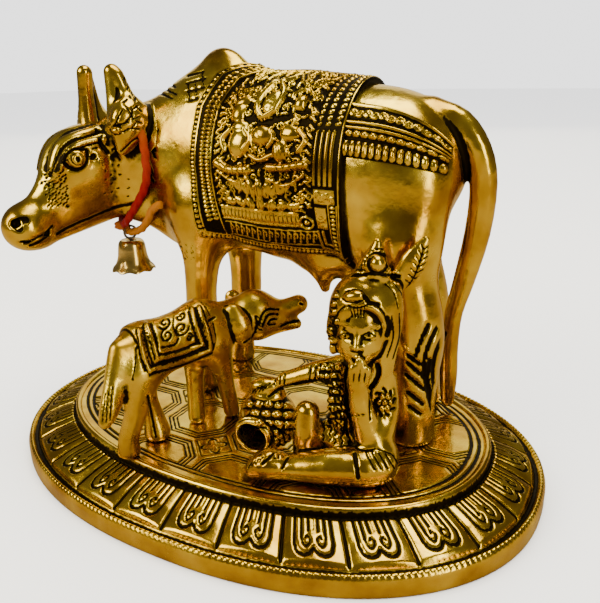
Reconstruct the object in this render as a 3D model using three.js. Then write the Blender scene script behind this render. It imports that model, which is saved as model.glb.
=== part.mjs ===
// A brass-gold cow and calf statue: a cow with a dressed back, her calf and a seated child
// with a pot, on an oval base edged with petals. A bell hangs from a thread on her neck.
// Millimetres. X runs along the cow, her head towards -X. Y runs away from the viewer.
// Z is up, and the origin is the middle of the base's underside.
import * as THREE from 'three';

// Driving dimensions
const BASE_LENGTH = 150;          // base, end to end
const BASE_WIDTH = 106;           // base, front to back
const OVAL_POWER = 2.2;           // 2 is an ellipse, more is fuller at the corners
const BAND_HEIGHT = 4.3;          // plain band at the foot of the base
const DECK_HEIGHT = 11.2;         // deck the figures stand on
const RIM_HEIGHT = 11.8;          // low rim around the deck
const RIM_INSET = 15;             // rim's inner edge, in from the base's edge
const PETALS = 27;                // petals around the base
const SOLE_GAP = 0.3;             // clearance between a figure and the deck
const COW_MIDDLE = 14.5;          // Y of the cow's middle plane
const CLOTH = 1.2;                // thickness of the saddle cloth
const BELL_HEIGHT = 9.2;          // bell, crown to mouth
const BELL_RADIUS = 6.6;          // bell's flared mouth
const BELL_WALL = 0.9;            // bell's wall
const BELL_HOLE = 0.9;            // hole in the bell's crown for its hook
const HOOK_RISE = 2.4;            // middle of the hook's eye above the bell's crown
const THREAD_DIAMETER = 2.2;      // cotton thread around the neck
const THREAD_STEPS = 28;          // straight steps around the thread's loop

const DEGREE = Math.PI / 180;

// Where each figure stands and which way it faces: origin x, y and heading in degrees.
// Inside a figure's frame the first number runs along the heading, the second across it.
const HEAD_FRAME = { x: -53.5, y: 3, heading: 249 };
const NECK_FRAME = { x: -28, y: COW_MIDDLE, heading: 204.5 };
const CALF_FRAME = { x: -15, y: -22, heading: 71 };
const CALF_HEAD_FRAME = { x: -9, y: -4, heading: 35 };
const CHILD_FRAME = { x: 33, y: -17, heading: 28.8 };
const BELL_PLACE = { x: -49.4, y: 3.5, z: 45.3 };
const THREAD_LOOP = { x: -45.5, y: 7.5, z: 77 };

// Signed distance fields: a field takes x, y, z and is negative inside the shape

// Ellipsoid with its long axes tilted nose-up by pitch degrees in the plane of x and z
function egg([cx, cy, cz], [rx, ry, rz], pitch = 0) {
  const c = Math.cos(pitch * DEGREE);
  const s = Math.sin(pitch * DEGREE);
  return (x, y, z) => {
    const dx = x - cx;
    const dz = z - cz;
    const px = (dx * c + dz * s) / rx;
    const py = (y - cy) / ry;
    const pz = (dz * c - dx * s) / rz;
    const near = Math.hypot(px, py, pz);
    const slope = Math.hypot(px / rx, py / ry, pz / rz);
    return slope < 1e-9 ? -Math.min(rx, ry, rz) : near * (near - 1) / slope;
  };
}

// Rounded cone between two balls, each given as x, y, z and radius
function bone([ax, ay, az, ra], [bx, by, bz, rb]) {
  const ux = bx - ax;
  const uy = by - ay;
  const uz = bz - az;
  const span = ux * ux + uy * uy + uz * uz;
  const drop = ra - rb;
  const flank = span - drop * drop;
  return (x, y, z) => {
    const px = x - ax;
    const py = y - ay;
    const pz = z - az;
    const along = px * ux + py * uy + pz * uz;
    const past = along - span;
    const away = (px * px + py * py + pz * pz) * span - along * along;
    const side = Math.max(away, 0) * span;
    const k = Math.sign(drop) * drop * drop * side;
    if (Math.sign(past) * flank * past * past * span > k) {
      return Math.sqrt(side + past * past * span) / span - rb;
    }
    if (Math.sign(along) * flank * along * along * span < k) {
      return Math.sqrt(side + along * along * span) / span - ra;
    }
    return (Math.sqrt(side * flank / span) + along * drop) / span - ra;
  };
}

// Ring lying across the direction (ux, uy): a torus with a level or tilted axis
function ring([cx, cy, cz], [ux, uy, uz], radius, thickness) {
  const size = Math.hypot(ux, uy, uz);
  return (x, y, z) => {
    const px = x - cx;
    const py = y - cy;
    const pz = z - cz;
    const along = (px * ux + py * uy + pz * uz) / size;
    const out = Math.sqrt(Math.max(px * px + py * py + pz * pz - along * along, 0));
    return Math.hypot(out - radius, along) - thickness;
  };
}

// Smooth union and smooth cut of fields
function meld(softness, ...fields) {
  return (x, y, z) => {
    let d = fields[0](x, y, z);
    for (let i = 1; i < fields.length; i += 1) {
      const e = fields[i](x, y, z);
      const h = Math.max(softness - Math.abs(d - e), 0) / softness;
      d = Math.min(d, e) - h * h * softness / 4;
    }
    return d;
  };
}

function carve(softness, body, tool) {
  const both = meld(softness, (x, y, z) => -body(x, y, z), tool);
  return (x, y, z) => -both(x, y, z);
}

// Balls on a smooth curve through the given ones
function bend(balls, steps = 3) {
  const last = balls.length - 1;
  const before = balls[0].map((v, k) => 2 * v - balls[1][k]);
  const after = balls[last].map((v, k) => 2 * v - balls[last - 1][k]);
  const knots = [before, ...balls, after];
  const path = [];
  for (let i = 0; i < last; i += 1) {
    const [p, q, r, s] = knots.slice(i, i + 4);
    for (let n = 0; n < steps; n += 1) {
      const t = n / steps;
      path.push(q.map((v, k) => v + 0.5 * ((r[k] - p[k]) * t
        + (2 * p[k] - 5 * v + 4 * r[k] - s[k]) * t * t
        + (3 * v - p[k] - 3 * r[k] + s[k]) * t ** 3)));
    }
  }
  path.push(balls[last]);
  return path;
}

// Round limb whose thickness follows the balls it passes through
function limb(...balls) {
  const path = bend(balls);
  const bones = path.slice(1).map((ball, i) => bone(path[i], ball));
  return (x, y, z) => {
    let d = bones[0](x, y, z);
    for (let i = 1; i < bones.length; i += 1) {
      d = Math.min(d, bones[i](x, y, z));
    }
    return d;
  };
}

// The same field, squeezed in y about the plane y = middle
function squeeze(field, middle, factor) {
  return (x, y, z) => field(x, middle + (y - middle) / factor, z) * Math.min(factor, 1);
}

// The same field with its left side repeated on the right
function mirror(field) {
  return (x, y, z) => field(x, Math.abs(y), z);
}

// A field given in a figure's own frame, moved to the statue's frame
function placed(frame, field) {
  const c = Math.cos(frame.heading * DEGREE);
  const s = Math.sin(frame.heading * DEGREE);
  return (x, y, z) => {
    const dx = x - frame.x;
    const dy = y - frame.y;
    return field(dx * c + dy * s, dx * s - dy * c, z);
  };
}

// A figure's soles: level with the deck inside the rim, and on the rim where a hoof meets it
function standing(field) {
  const along = BASE_LENGTH / 2 - RIM_INSET;
  const across = BASE_WIDTH / 2 - RIM_INSET;
  return (x, y, z) => {
    const oval = Math.abs(x / along) ** OVAL_POWER + Math.abs(y / across) ** OVAL_POWER;
    const sole = (oval > 0.96 ? RIM_HEIGHT : DECK_HEIGHT) + SOLE_GAP;
    return Math.max(field(x, y, z), sole - z);
  };
}

function between(points, t) {
  let i = 1;
  while (i < points.length - 1 && t > points[i][0]) {
    i += 1;
  }
  const [t0, v0] = points[i - 1];
  const [t1, v1] = points[i];
  const share = Math.min(Math.max((t - t0) / (t1 - t0), 0), 1);
  return v0 + (v1 - v0) * share * share * (3 - 2 * share);
}

// Marching tetrahedra: the closed surface where a field is zero, inside the box low to high
function skin(field, low, high, step) {
  const count = [0, 1, 2].map((i) => Math.ceil((high[i] - low[i]) / step) + 1);
  const stride = [1, count[0], count[0] * count[1]];
  const value = new Float64Array(count[0] * count[1] * count[2]);
  for (let k = 0; k < count[2]; k += 1) {
    for (let j = 0; j < count[1]; j += 1) {
      for (let i = 0; i < count[0]; i += 1) {
        const d = field(low[0] + i * step, low[1] + j * step, low[2] + k * step);
        value[i + j * stride[1] + k * stride[2]] = d;
      }
    }
  }
  const place = (n) => [
    low[0] + (n % count[0]) * step,
    low[1] + (Math.floor(n / stride[1]) % count[1]) * step,
    low[2] + Math.floor(n / stride[2]) * step,
  ];
  const points = [];
  const known = new Map();
  const crossing = (m, n) => {
    const key = Math.min(m, n) * 8 * stride[2] + Math.abs(m - n);
    if (!known.has(key)) {
      const share = Math.min(Math.max(value[m] / (value[m] - value[n]), 0.08), 0.92);
      const a = place(m);
      const b = place(n);
      known.set(key, points.length);
      points.push(a.map((v, i) => v + (b[i] - v) * share));
    }
    return known.get(key);
  };
  const corner = [0, 1, 2, 3, 4, 5, 6, 7].map((c) => (c & 1) * stride[0]
    + ((c >> 1) & 1) * stride[1] + ((c >> 2) & 1) * stride[2]);
  const tetrahedra = [[0, 1, 3, 7], [0, 3, 2, 7], [0, 2, 6, 7], [0, 6, 4, 7], [0, 4, 5, 7], [0, 5, 1, 7]];
  const faces = [];
  for (let k = 0; k < count[2] - 1; k += 1) {
    for (let j = 0; j < count[1] - 1; j += 1) {
      for (let i = 0; i < count[0] - 1; i += 1) {
        const n = i + j * stride[1] + k * stride[2];
        const inside = corner.reduce((sum, c) => sum + (value[n + c] < 0 ? 1 : 0), 0);
        if (inside > 0 && inside < 8) {
          tetrahedra.forEach((four) => slice(four.map((c) => n + corner[c]), value, crossing, faces));
        }
      }
    }
  }
  return { points, faces };
}

// Faces of the surface inside one tetrahedron whose corners turn right-handed
function slice(four, value, crossing, faces) {
  const inner = four.filter((n) => value[n] < 0);
  const outer = four.filter((n) => value[n] >= 0);
  if (inner.length === 0 || outer.length === 0) {
    return;
  }
  const order = [...inner, ...outer].map((n) => four.indexOf(n));
  let swaps = 0;
  for (let a = 0; a < 4; a += 1) {
    for (let b = a + 1; b < 4; b += 1) {
      swaps += order[a] > order[b] ? 1 : 0;
    }
  }
  const turned = swaps % 2 === 1;
  const add = (a, b, c) => faces.push(turned ? [a, c, b] : [a, b, c]);
  if (inner.length === 1) {
    add(...outer.map((n) => crossing(inner[0], n)));
  } else if (inner.length === 3) {
    const [a, b, c] = inner.map((n) => crossing(n, outer[0]));
    add(a, b, c);
  } else {
    const [a, b] = outer.map((n) => crossing(inner[0], n));
    const [d, c] = outer.map((n) => crossing(inner[1], n));
    add(a, b, c);
    add(a, c, d);
  }
}

// Edge collapse by quadric error: fewer faces, the same closed form
function thin({ points, faces }, target) {
  const quadric = points.map(() => new Float64Array(10));
  const around = points.map(() => new Set());
  const alive = new Uint8Array(faces.length).fill(1);
  const stamp = new Int32Array(points.length);
  const normal = ([a, b, c]) => {
    const [p, q, r] = [points[a], points[b], points[c]];
    const u = [q[0] - p[0], q[1] - p[1], q[2] - p[2]];
    const v = [r[0] - p[0], r[1] - p[1], r[2] - p[2]];
    return [u[1] * v[2] - u[2] * v[1], u[2] * v[0] - u[0] * v[2], u[0] * v[1] - u[1] * v[0]];
  };
  faces.forEach((face, f) => {
    const n = normal(face);
    const size = Math.hypot(...n) || 1;
    const [a, b, c] = n.map((v) => v / size);
    const p = points[face[0]];
    const d = -(a * p[0] + b * p[1] + c * p[2]);
    const plane = [a * a, a * b, a * c, a * d, b * b, b * c, b * d, c * c, c * d, d * d];
    face.forEach((v) => {
      around[v].add(f);
      plane.forEach((term, i) => {
        quadric[v][i] += term * size;
      });
    });
  });
  const spread = (q, [x, y, z]) => q[0] * x * x + 2 * q[1] * x * y + 2 * q[2] * x * z + 2 * q[3] * x
    + q[4] * y * y + 2 * q[5] * y * z + 2 * q[6] * y + q[7] * z * z + 2 * q[8] * z + q[9];
  const best = (a, b) => {
    const q = quadric[a].map((v, i) => v + quadric[b][i]);
    const [p, r] = [points[a], points[b]];
    const choices = [p, r, p.map((v, i) => (v + r[i]) / 2)];
    const det = q[0] * (q[4] * q[7] - q[5] * q[5]) - q[1] * (q[1] * q[7] - q[5] * q[2])
      + q[2] * (q[1] * q[5] - q[4] * q[2]);
    if (Math.abs(det) > 1e-3) {
      const x = -(q[3] * (q[4] * q[7] - q[5] * q[5]) - q[1] * (q[6] * q[7] - q[5] * q[8])
        + q[2] * (q[6] * q[5] - q[4] * q[8])) / det;
      const y = -(q[0] * (q[6] * q[7] - q[8] * q[5]) - q[3] * (q[1] * q[7] - q[5] * q[2])
        + q[2] * (q[1] * q[8] - q[6] * q[2])) / det;
      const z = -(q[0] * (q[4] * q[8] - q[5] * q[6]) - q[1] * (q[1] * q[8] - q[2] * q[6])
        + q[3] * (q[1] * q[5] - q[4] * q[2])) / det;
      const far = Math.hypot(x - choices[2][0], y - choices[2][1], z - choices[2][2]);
      if (far < 2 * Math.hypot(p[0] - r[0], p[1] - r[1], p[2] - r[2])) {
        choices.push([x, y, z]);
      }
    }
    const length = Math.hypot(p[0] - r[0], p[1] - r[1], p[2] - r[2]);
    return choices.map((at) => ({ at, cost: spread(q, at) + 1e-4 * length })).sort((s, t) => s.cost - t.cost)[0];
  };
  const heap = [];
  const push = (entry) => {
    heap.push(entry);
    let i = heap.length - 1;
    while (i > 0 && heap[(i - 1) >> 1].cost > heap[i].cost) {
      [heap[i], heap[(i - 1) >> 1]] = [heap[(i - 1) >> 1], heap[i]];
      i = (i - 1) >> 1;
    }
  };
  const pop = () => {
    const top = heap[0];
    const last = heap.pop();
    if (heap.length > 0) {
      heap[0] = last;
      let i = 0;
      for (;;) {
        const kids = [2 * i + 1, 2 * i + 2].filter((n) => n < heap.length);
        const least = kids.reduce((m, n) => (heap[n].cost < heap[m].cost ? n : m), i);
        if (least === i) {
          break;
        }
        [heap[i], heap[least]] = [heap[least], heap[i]];
        i = least;
      }
    }
    return top;
  };
  const offer = (a, b) => push({ a, b, mark: stamp[a] + stamp[b], ...best(a, b) });
  const ends = (v) => {
    const set = new Set();
    around[v].forEach((f) => faces[f].forEach((w) => set.add(w)));
    set.delete(v);
    return set;
  };
  points.forEach((_, v) => ends(v).forEach((w) => {
    if (v < w) {
      offer(v, w);
    }
  }));
  const flips = (gone, kept, at) => [...around[gone]].some((f) => {
    const face = faces[f];
    if (face.includes(kept)) {
      return false;
    }
    const before = normal(face);
    const old = points[gone];
    points[gone] = at;
    const after = normal(face);
    points[gone] = old;
    const dot = before[0] * after[0] + before[1] * after[1] + before[2] * after[2];
    return dot < 0.25 * Math.hypot(...before) * Math.hypot(...after) || Math.hypot(...after) < 1e-3;
  });
  let left = faces.length;
  while (left > target && heap.length > 0) {
    const { a, b, at, mark } = pop();
    const [nearA, nearB] = [around[a], around[b]];
    if (nearA.size > 0 && nearB.size > 0 && mark === stamp[a] + stamp[b]) {
      const endsA = ends(a);
      const shared = [...ends(b)].filter((v) => endsA.has(v));
      if (endsA.has(b) && shared.length === 2 && !flips(a, b, at) && !flips(b, a, at)) {
        [...nearB].forEach((f) => {
          if (faces[f].includes(a)) {
            alive[f] = 0;
            left -= 1;
            faces[f].forEach((v) => around[v].delete(f));
          } else {
            faces[f][faces[f].indexOf(b)] = a;
            nearA.add(f);
          }
        });
        around[b] = new Set();
        points[a] = at;
        quadric[b].forEach((v, i) => {
          quadric[a][i] += v;
        });
        stamp[a] += 1;
        stamp[b] += 1;
        ends(a).forEach((v) => offer(a, v));
      }
    }
  }
  return { points, faces: faces.filter((_, f) => alive[f]) };
}

function solid({ points, faces }) {
  const geometry = new THREE.BufferGeometry();
  geometry.setAttribute('position', new THREE.Float32BufferAttribute(points.flat(), 3));
  geometry.setIndex(faces.flat());
  geometry.computeVertexNormals();
  return geometry;
}

// Materials
function gold() {
  return new THREE.MeshStandardMaterial({ color: 0xb98a1e, roughness: 0.25, metalness: 1 });
}

function brass() {
  return new THREE.MeshStandardMaterial({ color: 0xb9a26a, roughness: 0.25, metalness: 1 });
}

function steel() {
  return new THREE.MeshStandardMaterial({ color: 0x6e6a62, roughness: 0.4, metalness: 1 });
}

function cotton() {
  return new THREE.MeshStandardMaterial({ color: 0xe2661a, roughness: 0.8, metalness: 0 });
}

// Base: an oval plate whose sloping flange is ringed with rounded petals

function ovalAngles(steps) {
  const fine = 3600;
  const power = 2 / OVAL_POWER;
  const at = (i) => {
    const t = 2 * Math.PI * i / fine;
    const c = Math.cos(t);
    const s = Math.sin(t);
    return [
      BASE_LENGTH / 2 * Math.sign(c) * Math.abs(c) ** power,
      BASE_WIDTH / 2 * Math.sign(s) * Math.abs(s) ** power,
    ];
  };
  const run = [0];
  for (let i = 1; i <= fine; i += 1) {
    const [x0, y0] = at(i - 1);
    const [x1, y1] = at(i);
    run.push(run[i - 1] + Math.hypot(x1 - x0, y1 - y0));
  }
  const angles = [];
  let i = 0;
  for (let n = 0; n < steps; n += 1) {
    while (run[i] < run[fine] * n / steps) {
      i += 1;
    }
    angles.push(2 * Math.PI * i / fine);
  }
  return angles;
}

function ovalPoint(angle, inset, height) {
  const power = 2 / OVAL_POWER;
  const c = Math.cos(angle);
  const s = Math.sin(angle);
  return [
    (BASE_LENGTH / 2 - inset) * Math.sign(c) * Math.abs(c) ** power,
    (BASE_WIDTH / 2 - inset) * Math.sign(s) * Math.abs(s) ** power,
    height,
  ];
}

function baseSolid() {
  const perPetal = 3;
  const angles = ovalAngles(PETALS * perPetal);
  // Each ring: inset, height, and how far a petal's middle stands above its edges there
  const rings = [
    [0.6, 0, 0], [0, 0.6, 0], [0, BAND_HEIGHT, 0], [1.4, BAND_HEIGHT + 1.2, 0], [2.8, BAND_HEIGHT, 0],
    [3.4, 4.6, 0.9], [7.5, 7.0, 1.1], [12.4, 9.2, 0.5], [13.3, 9.8, 0], [14.0, RIM_HEIGHT, 0],
    [RIM_INSET, DECK_HEIGHT, 0],
  ];
  const points = [];
  rings.forEach(([inset, height, crown]) => {
    angles.forEach((angle, n) => {
      const bulge = Math.sqrt(Math.sin(Math.PI * ((n + 2) % perPetal) / perPetal));
      points.push(ovalPoint(angle, inset, height + crown * bulge));
    });
  });
  const sides = angles.length;
  const faces = [];
  for (let r = 1; r < rings.length; r += 1) {
    for (let n = 0; n < sides; n += 1) {
      const [a, b] = [(r - 1) * sides + n, (r - 1) * sides + (n + 1) % sides];
      const [d, c] = [a + sides, b + sides];
      faces.push([a, b, c], [a, c, d]);
    }
  }
  const bottom = points.push([0, 0, 0]) - 1;
  const top = points.push([0, 0, DECK_HEIGHT]) - 1;
  const last = (rings.length - 1) * sides;
  for (let n = 0; n < sides; n += 1) {
    faces.push([bottom, (n + 1) % sides, n], [top, last + n, last + (n + 1) % sides]);
  }
  return solid({ points, faces });
}

// Cow

function cowTorso() {
  const m = COW_MIDDLE;
  return meld(8,
    egg([-22, m, 77], [20, 15.5, 23]),
    egg([4, m, 76], [34, 17.5, 24.2]),
    egg([28.5, m, 78.5], [21.5, 16.5, 19]),
    egg([-32, m - 0.5, 63], [9.5, 8.5, 10]),
    squeeze(limb([-20, m, 92, 12], [-20, m, 101, 7]), m, 0.62));
}

function cowNeck() {
  return placed(NECK_FRAME, squeeze(meld(6,
    bone([2, 0, 78.5, 19], [20, 0, 77.6, 15.2]),
    bone([3, 0, 66, 12], [21, 0, 70.5, 9])), 0, 0.66));
}

function cowHead() {
  const skull = meld(5,
    egg([7.5, 0, 79], [12.5, 9.2, 9.6], -12),
    squeeze(limb([8, 0, 76, 9], [18, 0, 70, 5.8], [22.5, 0, 66.4, 4.6], [26.5, 0, 63.5, 4.8]), 0, 0.95),
    squeeze(bone([3, 0, 68.5, 7.6], [22, 0, 60.5, 4]), 0, 0.85),
    egg([27, 0, 62], [5.6, 6.0, 5.2], -20));
  const horn = meld(0.8,
    limb([1.5, 8.4, 85, 3.3], [1.6, 9.2, 89.5, 2.5], [1.4, 9.4, 96, 2.2], [1.2, 9, 102.2, 2.2]),
    limb([-0.6, 10.2, 85, 3.3], [-0.8, 11.2, 90.5, 2.3], [-0.9, 11.4, 96, 2], [0.4, 10.2, 101.4, 1.8]));
  const ear = squeeze(limb([-1, 11, 90, 3.6], [-1.4, 12.8, 87.5, 5], [1.6, 12.4, 81.6, 1.4]), 12.4, 0.6);
  const brow = limb([18.5, 5.6, 75.5, 1.1], [14.6, 7.2, 82.4, 1.3], [6, 8.2, 85, 1.2]);
  const eye = egg([12.6, 7.6, 80], [3.1, 2.2, 2.6]);
  const nostril = egg([31, 4.4, 64.5], [1.6, 1.6, 1.2]);
  const mouth = bone([31, 4.6, 58.8, 0.7], [23, 5.2, 61.2, 0.7]);
  return placed(HEAD_FRAME, mirror(carve(0.8, carve(0.8,
    meld(1.2, meld(2.5, skull, horn, ear), brow, eye), nostril), mouth)));
}

function cowLegs() {
  const front = limb([-23, 5.5, 66, 9.5], [-23.4, 4, 53, 5.6], [-23.8, 3.2, 44, 4.5], [-24, 3, 37, 4.4],
    [-24.4, 3, 31, 3.5], [-24.7, 3, 22, 3.3], [-25, 3, 17.5, 4], [-25.4, 3, 13, 4.7]);
  const farFront = limb([-22, 23.5, 66, 9.5], [-23, 25.4, 53, 6], [-23.6, 26.4, 43, 4.9], [-24.2, 27, 35, 4.8],
    [-25, 27, 29, 4], [-26, 27, 22, 3.7], [-27, 27, 17, 4.3], [-27.6, 27, 13, 4.9]);
  const hind = meld(6,
    egg([35.5, 6.5, 71], [12.6, 8, 19]),
    limb([35, 5.5, 62, 10.5], [38.5, 4.8, 53, 8], [41.4, 4.2, 44.5, 6], [43.4, 4, 38, 5.2],
      [43.4, 4, 31, 4.4], [43, 4, 22, 4.2], [42.7, 4, 17, 4.8], [42.4, 4, 13, 5.4]));
  const farHind = (x, y, z) => hind(x + 5, 2 * COW_MIDDLE - y, z);
  return meld(3, front, farFront, hind, farHind);
}

function cowTail() {
  const m = COW_MIDDLE;
  return limb([39, m, 92.2, 3.4], [45.4, m, 89.8, 3.3], [50, m, 84, 3.2], [51.8, m + 1, 76, 3.2],
    [51, m + 2, 64, 3.1], [48.1, m + 4, 51, 2.7], [45.6, m + 5.5, 41, 2.3], [44.8, m + 6.6, 31, 2.3],
    [44.8, m + 7.4, 22, 2.4], [44.8, m + 8, 14, 1.8]);
}

function cowUdder() {
  return meld(2.5, egg([14, COW_MIDDLE - 2, 54], [9, 8, 5]),
    ...[[13, -6.5], [21, -5], [10, 4], [18, 5]].map(([x, y]) => bone(
      [x, COW_MIDDLE + y, 51, 2.4], [x + 0.8, COW_MIDDLE + y, 47, 1.3])));
}

// Saddle cloth: a raised frame around a field with two seated figures on a lotus
function saddleRelief(x, z) {
  const field = Math.min(x + 14, 15 - x, z - 68, 98 - z);
  const frame = Math.min(Math.max(-field, 0), 1) * 0.7;
  // Each lump: x, z, half width, half height and how far it stands out
  const lumps = [
    [5.5, 92, 2.6, 3.0, 1.5], [4.5, 85.5, 4.2, 4.6, 1.6], [5, 80, 7, 2.6, 1.3],
    [-4.5, 93.5, 2.4, 2.8, 1.2], [-5, 87, 3.4, 4.4, 1.2], [-5, 81.5, 5, 2.4, 1],
    [0.5, 74.5, 11, 2.6, 1.1], [-9.5, 77, 2.5, 5, 0.8], [11.5, 77, 2.2, 5, 0.8],
  ];
  const lift = lumps.map(([cx, cz, rx, rz, high]) => {
    const room = 1 - ((x - cx) / rx) ** 2 - ((z - cz) / rz) ** 2;
    return high * Math.sqrt(Math.max(room, 0));
  });
  return Math.max(frame, ...lift);
}

// Saddle cloth and rump cloth: the body's surface raised inside their outlines
function cowCloths(body) {
  const front = [[56, -18.5], [82, -22.3], [104, -8.5]];
  return (x, y, z) => {
    const saddle = Math.max(between(front, z) - x, x - 24, 56 - z);
    const rump = Math.max(22 - x, x - 45.5, 87 - 0.28 * x - z, z - 91.5 + 0.1 * (x - 24));
    const d = body(x, y, z);
    if (d > 4 || Math.min(saddle, rump) > 2) {
      return Math.max(d, 1);
    }
    return Math.min(Math.max(d - CLOTH - saddleRelief(x, z), saddle), Math.max(d - 0.8 * CLOTH, rump));
  };
}

function cowField() {
  const torso = cowTorso();
  const body = meld(5, meld(6, torso, cowNeck(), cowLegs()), cowUdder());
  const whole = meld(2, meld(1.6, body, cowHead()), cowTail());
  const cloths = cowCloths(body);
  return standing((x, y, z) => Math.min(whole(x, y, z), cloths(x, y, z)));
}

function cowSolid() {
  return solid(thin(skin(cowField(), [-76, -34, 10], [62, 38, 111], 1.1), 4300));
}

// Calf

function calfSolid() {
  const body = meld(3.5,
    egg([-9.0, 0, 35.6], [7.6, 6.2, 8.4], 0),
    egg([1, 0, 36.8], [12.5, 5.8, 7.0], 4),
    egg([9.5, 0, 37.5], [7, 5.8, 8.4], 0));
  const neck = bone([11, 0, 38, 6], [17, 1.5, 39, 5]);
  const legs = meld(2.5,
    limb([-11, 2.6, 33, 5], [-13, 3, 24, 2.9], [-15.2, 2.0, 17, 2.5], [-15.6, 1.8, 13, 2.8]),
    limb([-8, -2.6, 33, 4.6], [-7, -2.6, 24, 2.6], [-6, -2, 18, 2.5], [-5.6, -1.4, 13, 3.4]),
    limb([11.5, 2.8, 34, 4.4], [13.6, 3, 24, 2.4], [15.6, 2.6, 13, 2.2]),
    limb([8.5, -2.8, 34, 4], [7.6, -2.4, 23, 2.4], [6.6, -1, 13, 2.4]));
  const tail = limb([-15.6, 1.5, 40, 1.5], [-18, 2.5, 34, 1.7], [-20, 4, 28, 2.4], [-22, 4.6, 24.6, 1.6]);
  const trunk = meld(2, meld(3, body, neck, legs), tail);
  const blanket = (x, y, z) => Math.max(body(x, y, z) - 0.8, -11.5 - x, x - 8.6, 33.5 - z);
  const skull = meld(3, egg([6, 0, 40], [5.6, 4.6, 6.2]),
    bone([1, 0, 38, 5.2], [6, 0, 37.5, 5]),
    limb([8, 0, 40.6, 4.2], [13.6, 0, 40.2, 2.9], [18.6, 0, 41.6, 2.6]),
    bone([8, 0, 37, 4.2], [18, 0, 35.8, 1.4]));
  const ear = squeeze(limb([0.8, 5.6, 42.4, 2.2], [2.2, 7.0, 38.4, 3.2], [3.6, 7.2, 33.8, 1.2]), 7.0, 0.6);
  const trunkPlaced = placed(CALF_FRAME, (x, y, z) => Math.min(trunk(x, y, z), blanket(x, y, z)));
  const calf = meld(0.8, meld(3, trunkPlaced, placed(CALF_HEAD_FRAME, skull)),
    placed(CALF_HEAD_FRAME, mirror(ear)));
  return solid(thin(skin(standing(calf), [-35, -52, 10], [16, 12, 50], 0.8), 900));
}

// Seated child with a pot

function childSolid() {
  const trunk = meld(3, egg([1, -5, 17], [8.5, 6.5, 5.6]), bone([1, -6.5, 19, 6], [2.4, -6, 32, 6.2]),
    bone([-2.6, -6, 34, 3], [7.4, -5, 33.4, 3.2]), bone([3, -5, 35, 3.4], [3, -4.5, 41, 3.4]));
  const head = meld(1.5, egg([3.2, -3.2, 47.3], [6.4, 6.6, 8.6]), egg([3.2, 2.6, 46.4], [1.1, 1.5, 1.6]),
    egg([-0.2, 1.2, 44.8], [2.4, 2.2, 2.4]), egg([6.6, 1.2, 44.8], [2.4, 2.2, 2.4]),
    egg([-3.9, -3.6, 46.5], [1.3, 2.2, 3.2]), egg([10.3, -3.6, 46.5], [1.3, 2.2, 3.2]));
  const hair = carve(0.8, egg([3.2, -4.4, 50.4], [7.8, 7.6, 8.4]), egg([3.2, 5.4, 44.6], [6.2, 8, 9.0]));
  const crown = meld(1.5, bone([4.6, -4.2, 59, 4], [5.6, -4.2, 66, 0.9]), egg([4.8, -0.6, 62], [2.2, 1.6, 2.2]));
  const plume = squeeze(limb([10, -5.4, 55, 1.8], [13.6, -5.6, 60.5, 3], [16.4, -5.8, 66, 0.9]), -5.6, 0.45);
  const rightArm = meld(1.5, limb([-2.8, -6, 35, 3.2], [-7.6, -7, 33.8, 2.6], [-15.5, -8.6, 31, 1.9]),
    egg([-20, -9.6, 29.2], [4, 2.6, 2]));
  const leftArm = meld(1.5, limb([7.4, -4.6, 33, 3.4], [7.6, -1.2, 27, 3.6], [5.6, 2.4, 20, 3.9]),
    limb([4.6, 2.8, 20, 3.7], [1.8, 2.9, 30, 2.6], [1.0, 3.1, 35, 2.2]), egg([1.0, 3.4, 39], [2.4, 1.8, 3.4]));
  const rightLeg = limb([-2.5, -5, 16.5, 5], [-10.4, -4, 22.4, 3.7], [-12.5, -1.5, 14.6, 3]);
  const leftLeg = limb([4, -4, 17, 5.5], [5.4, 5, 15.8, 5], [-6, 5.2, 15.4, 4.1], [-15, 3.9, 14.6, 3],
    [-19.4, 3.7, 14.8, 3.4], [-22.6, 3.7, 14, 2.3]);
  const garland = limb([-3, -1.2, 37, 1.6], [-3.4, -0.2, 30, 2], [-2, -0.6, 23, 2]);
  const figure = meld(1.2, meld(1.6, trunk, rightArm, leftArm, rightLeg, leftLeg), head, hair, crown, plume,
    garland);
  const pot = carve(0.5, meld(1, egg([-20, -11, 19.2], [7.4, 7.4, 7.4]),
    bone([-21.5, -8.5, 18.8, 4.6], [-23.2, -4.8, 18.3, 4.2]), ring([-23.4, -4.4, 18.2], [-0.4, 0.92, -0.1], 4, 1.1)),
  bone([-24.4, -2.2, 17.9, 3.1], [-21.4, -8.8, 18.8, 3.0]));
  const butter = egg([-19.6, -10, 26.6], [4.4, 3.6, 2.4]);
  const seated = placed(CHILD_FRAME, meld(1, figure, pot, butter));
  return solid(thin(skin(standing(seated), [2, -42, 10], [54, 2, 70], 0.8), 1850));
}

// Bell, its hook and the thread

function bellSolid() {
  const [r, h, w, hole] = [BELL_RADIUS, BELL_HEIGHT, BELL_WALL, BELL_HOLE];
  const outer = [[r, 0], [0.95 * r, 0.9], [0.76 * r, 2.4], [0.66 * r, 0.5 * h], [0.6 * r, 0.86 * h], [0.5 * r, h],
    [hole, h]];
  const inner = [[hole, h - w], [0.5 * r - 0.3 * w, h - w], [0.6 * r - w, 0.8 * h], [0.66 * r - w, 0.5 * h],
    [0.76 * r - w, 2.4], [r - 0.6 * w, 0]];
  const profile = [...outer, ...inner, outer[0]].map(([x, z]) => new THREE.Vector2(x, z));
  const geometry = new THREE.LatheGeometry(profile, 12);
  geometry.rotateX(Math.PI / 2);
  geometry.translate(BELL_PLACE.x, BELL_PLACE.y, BELL_PLACE.z);
  return geometry;
}

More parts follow.
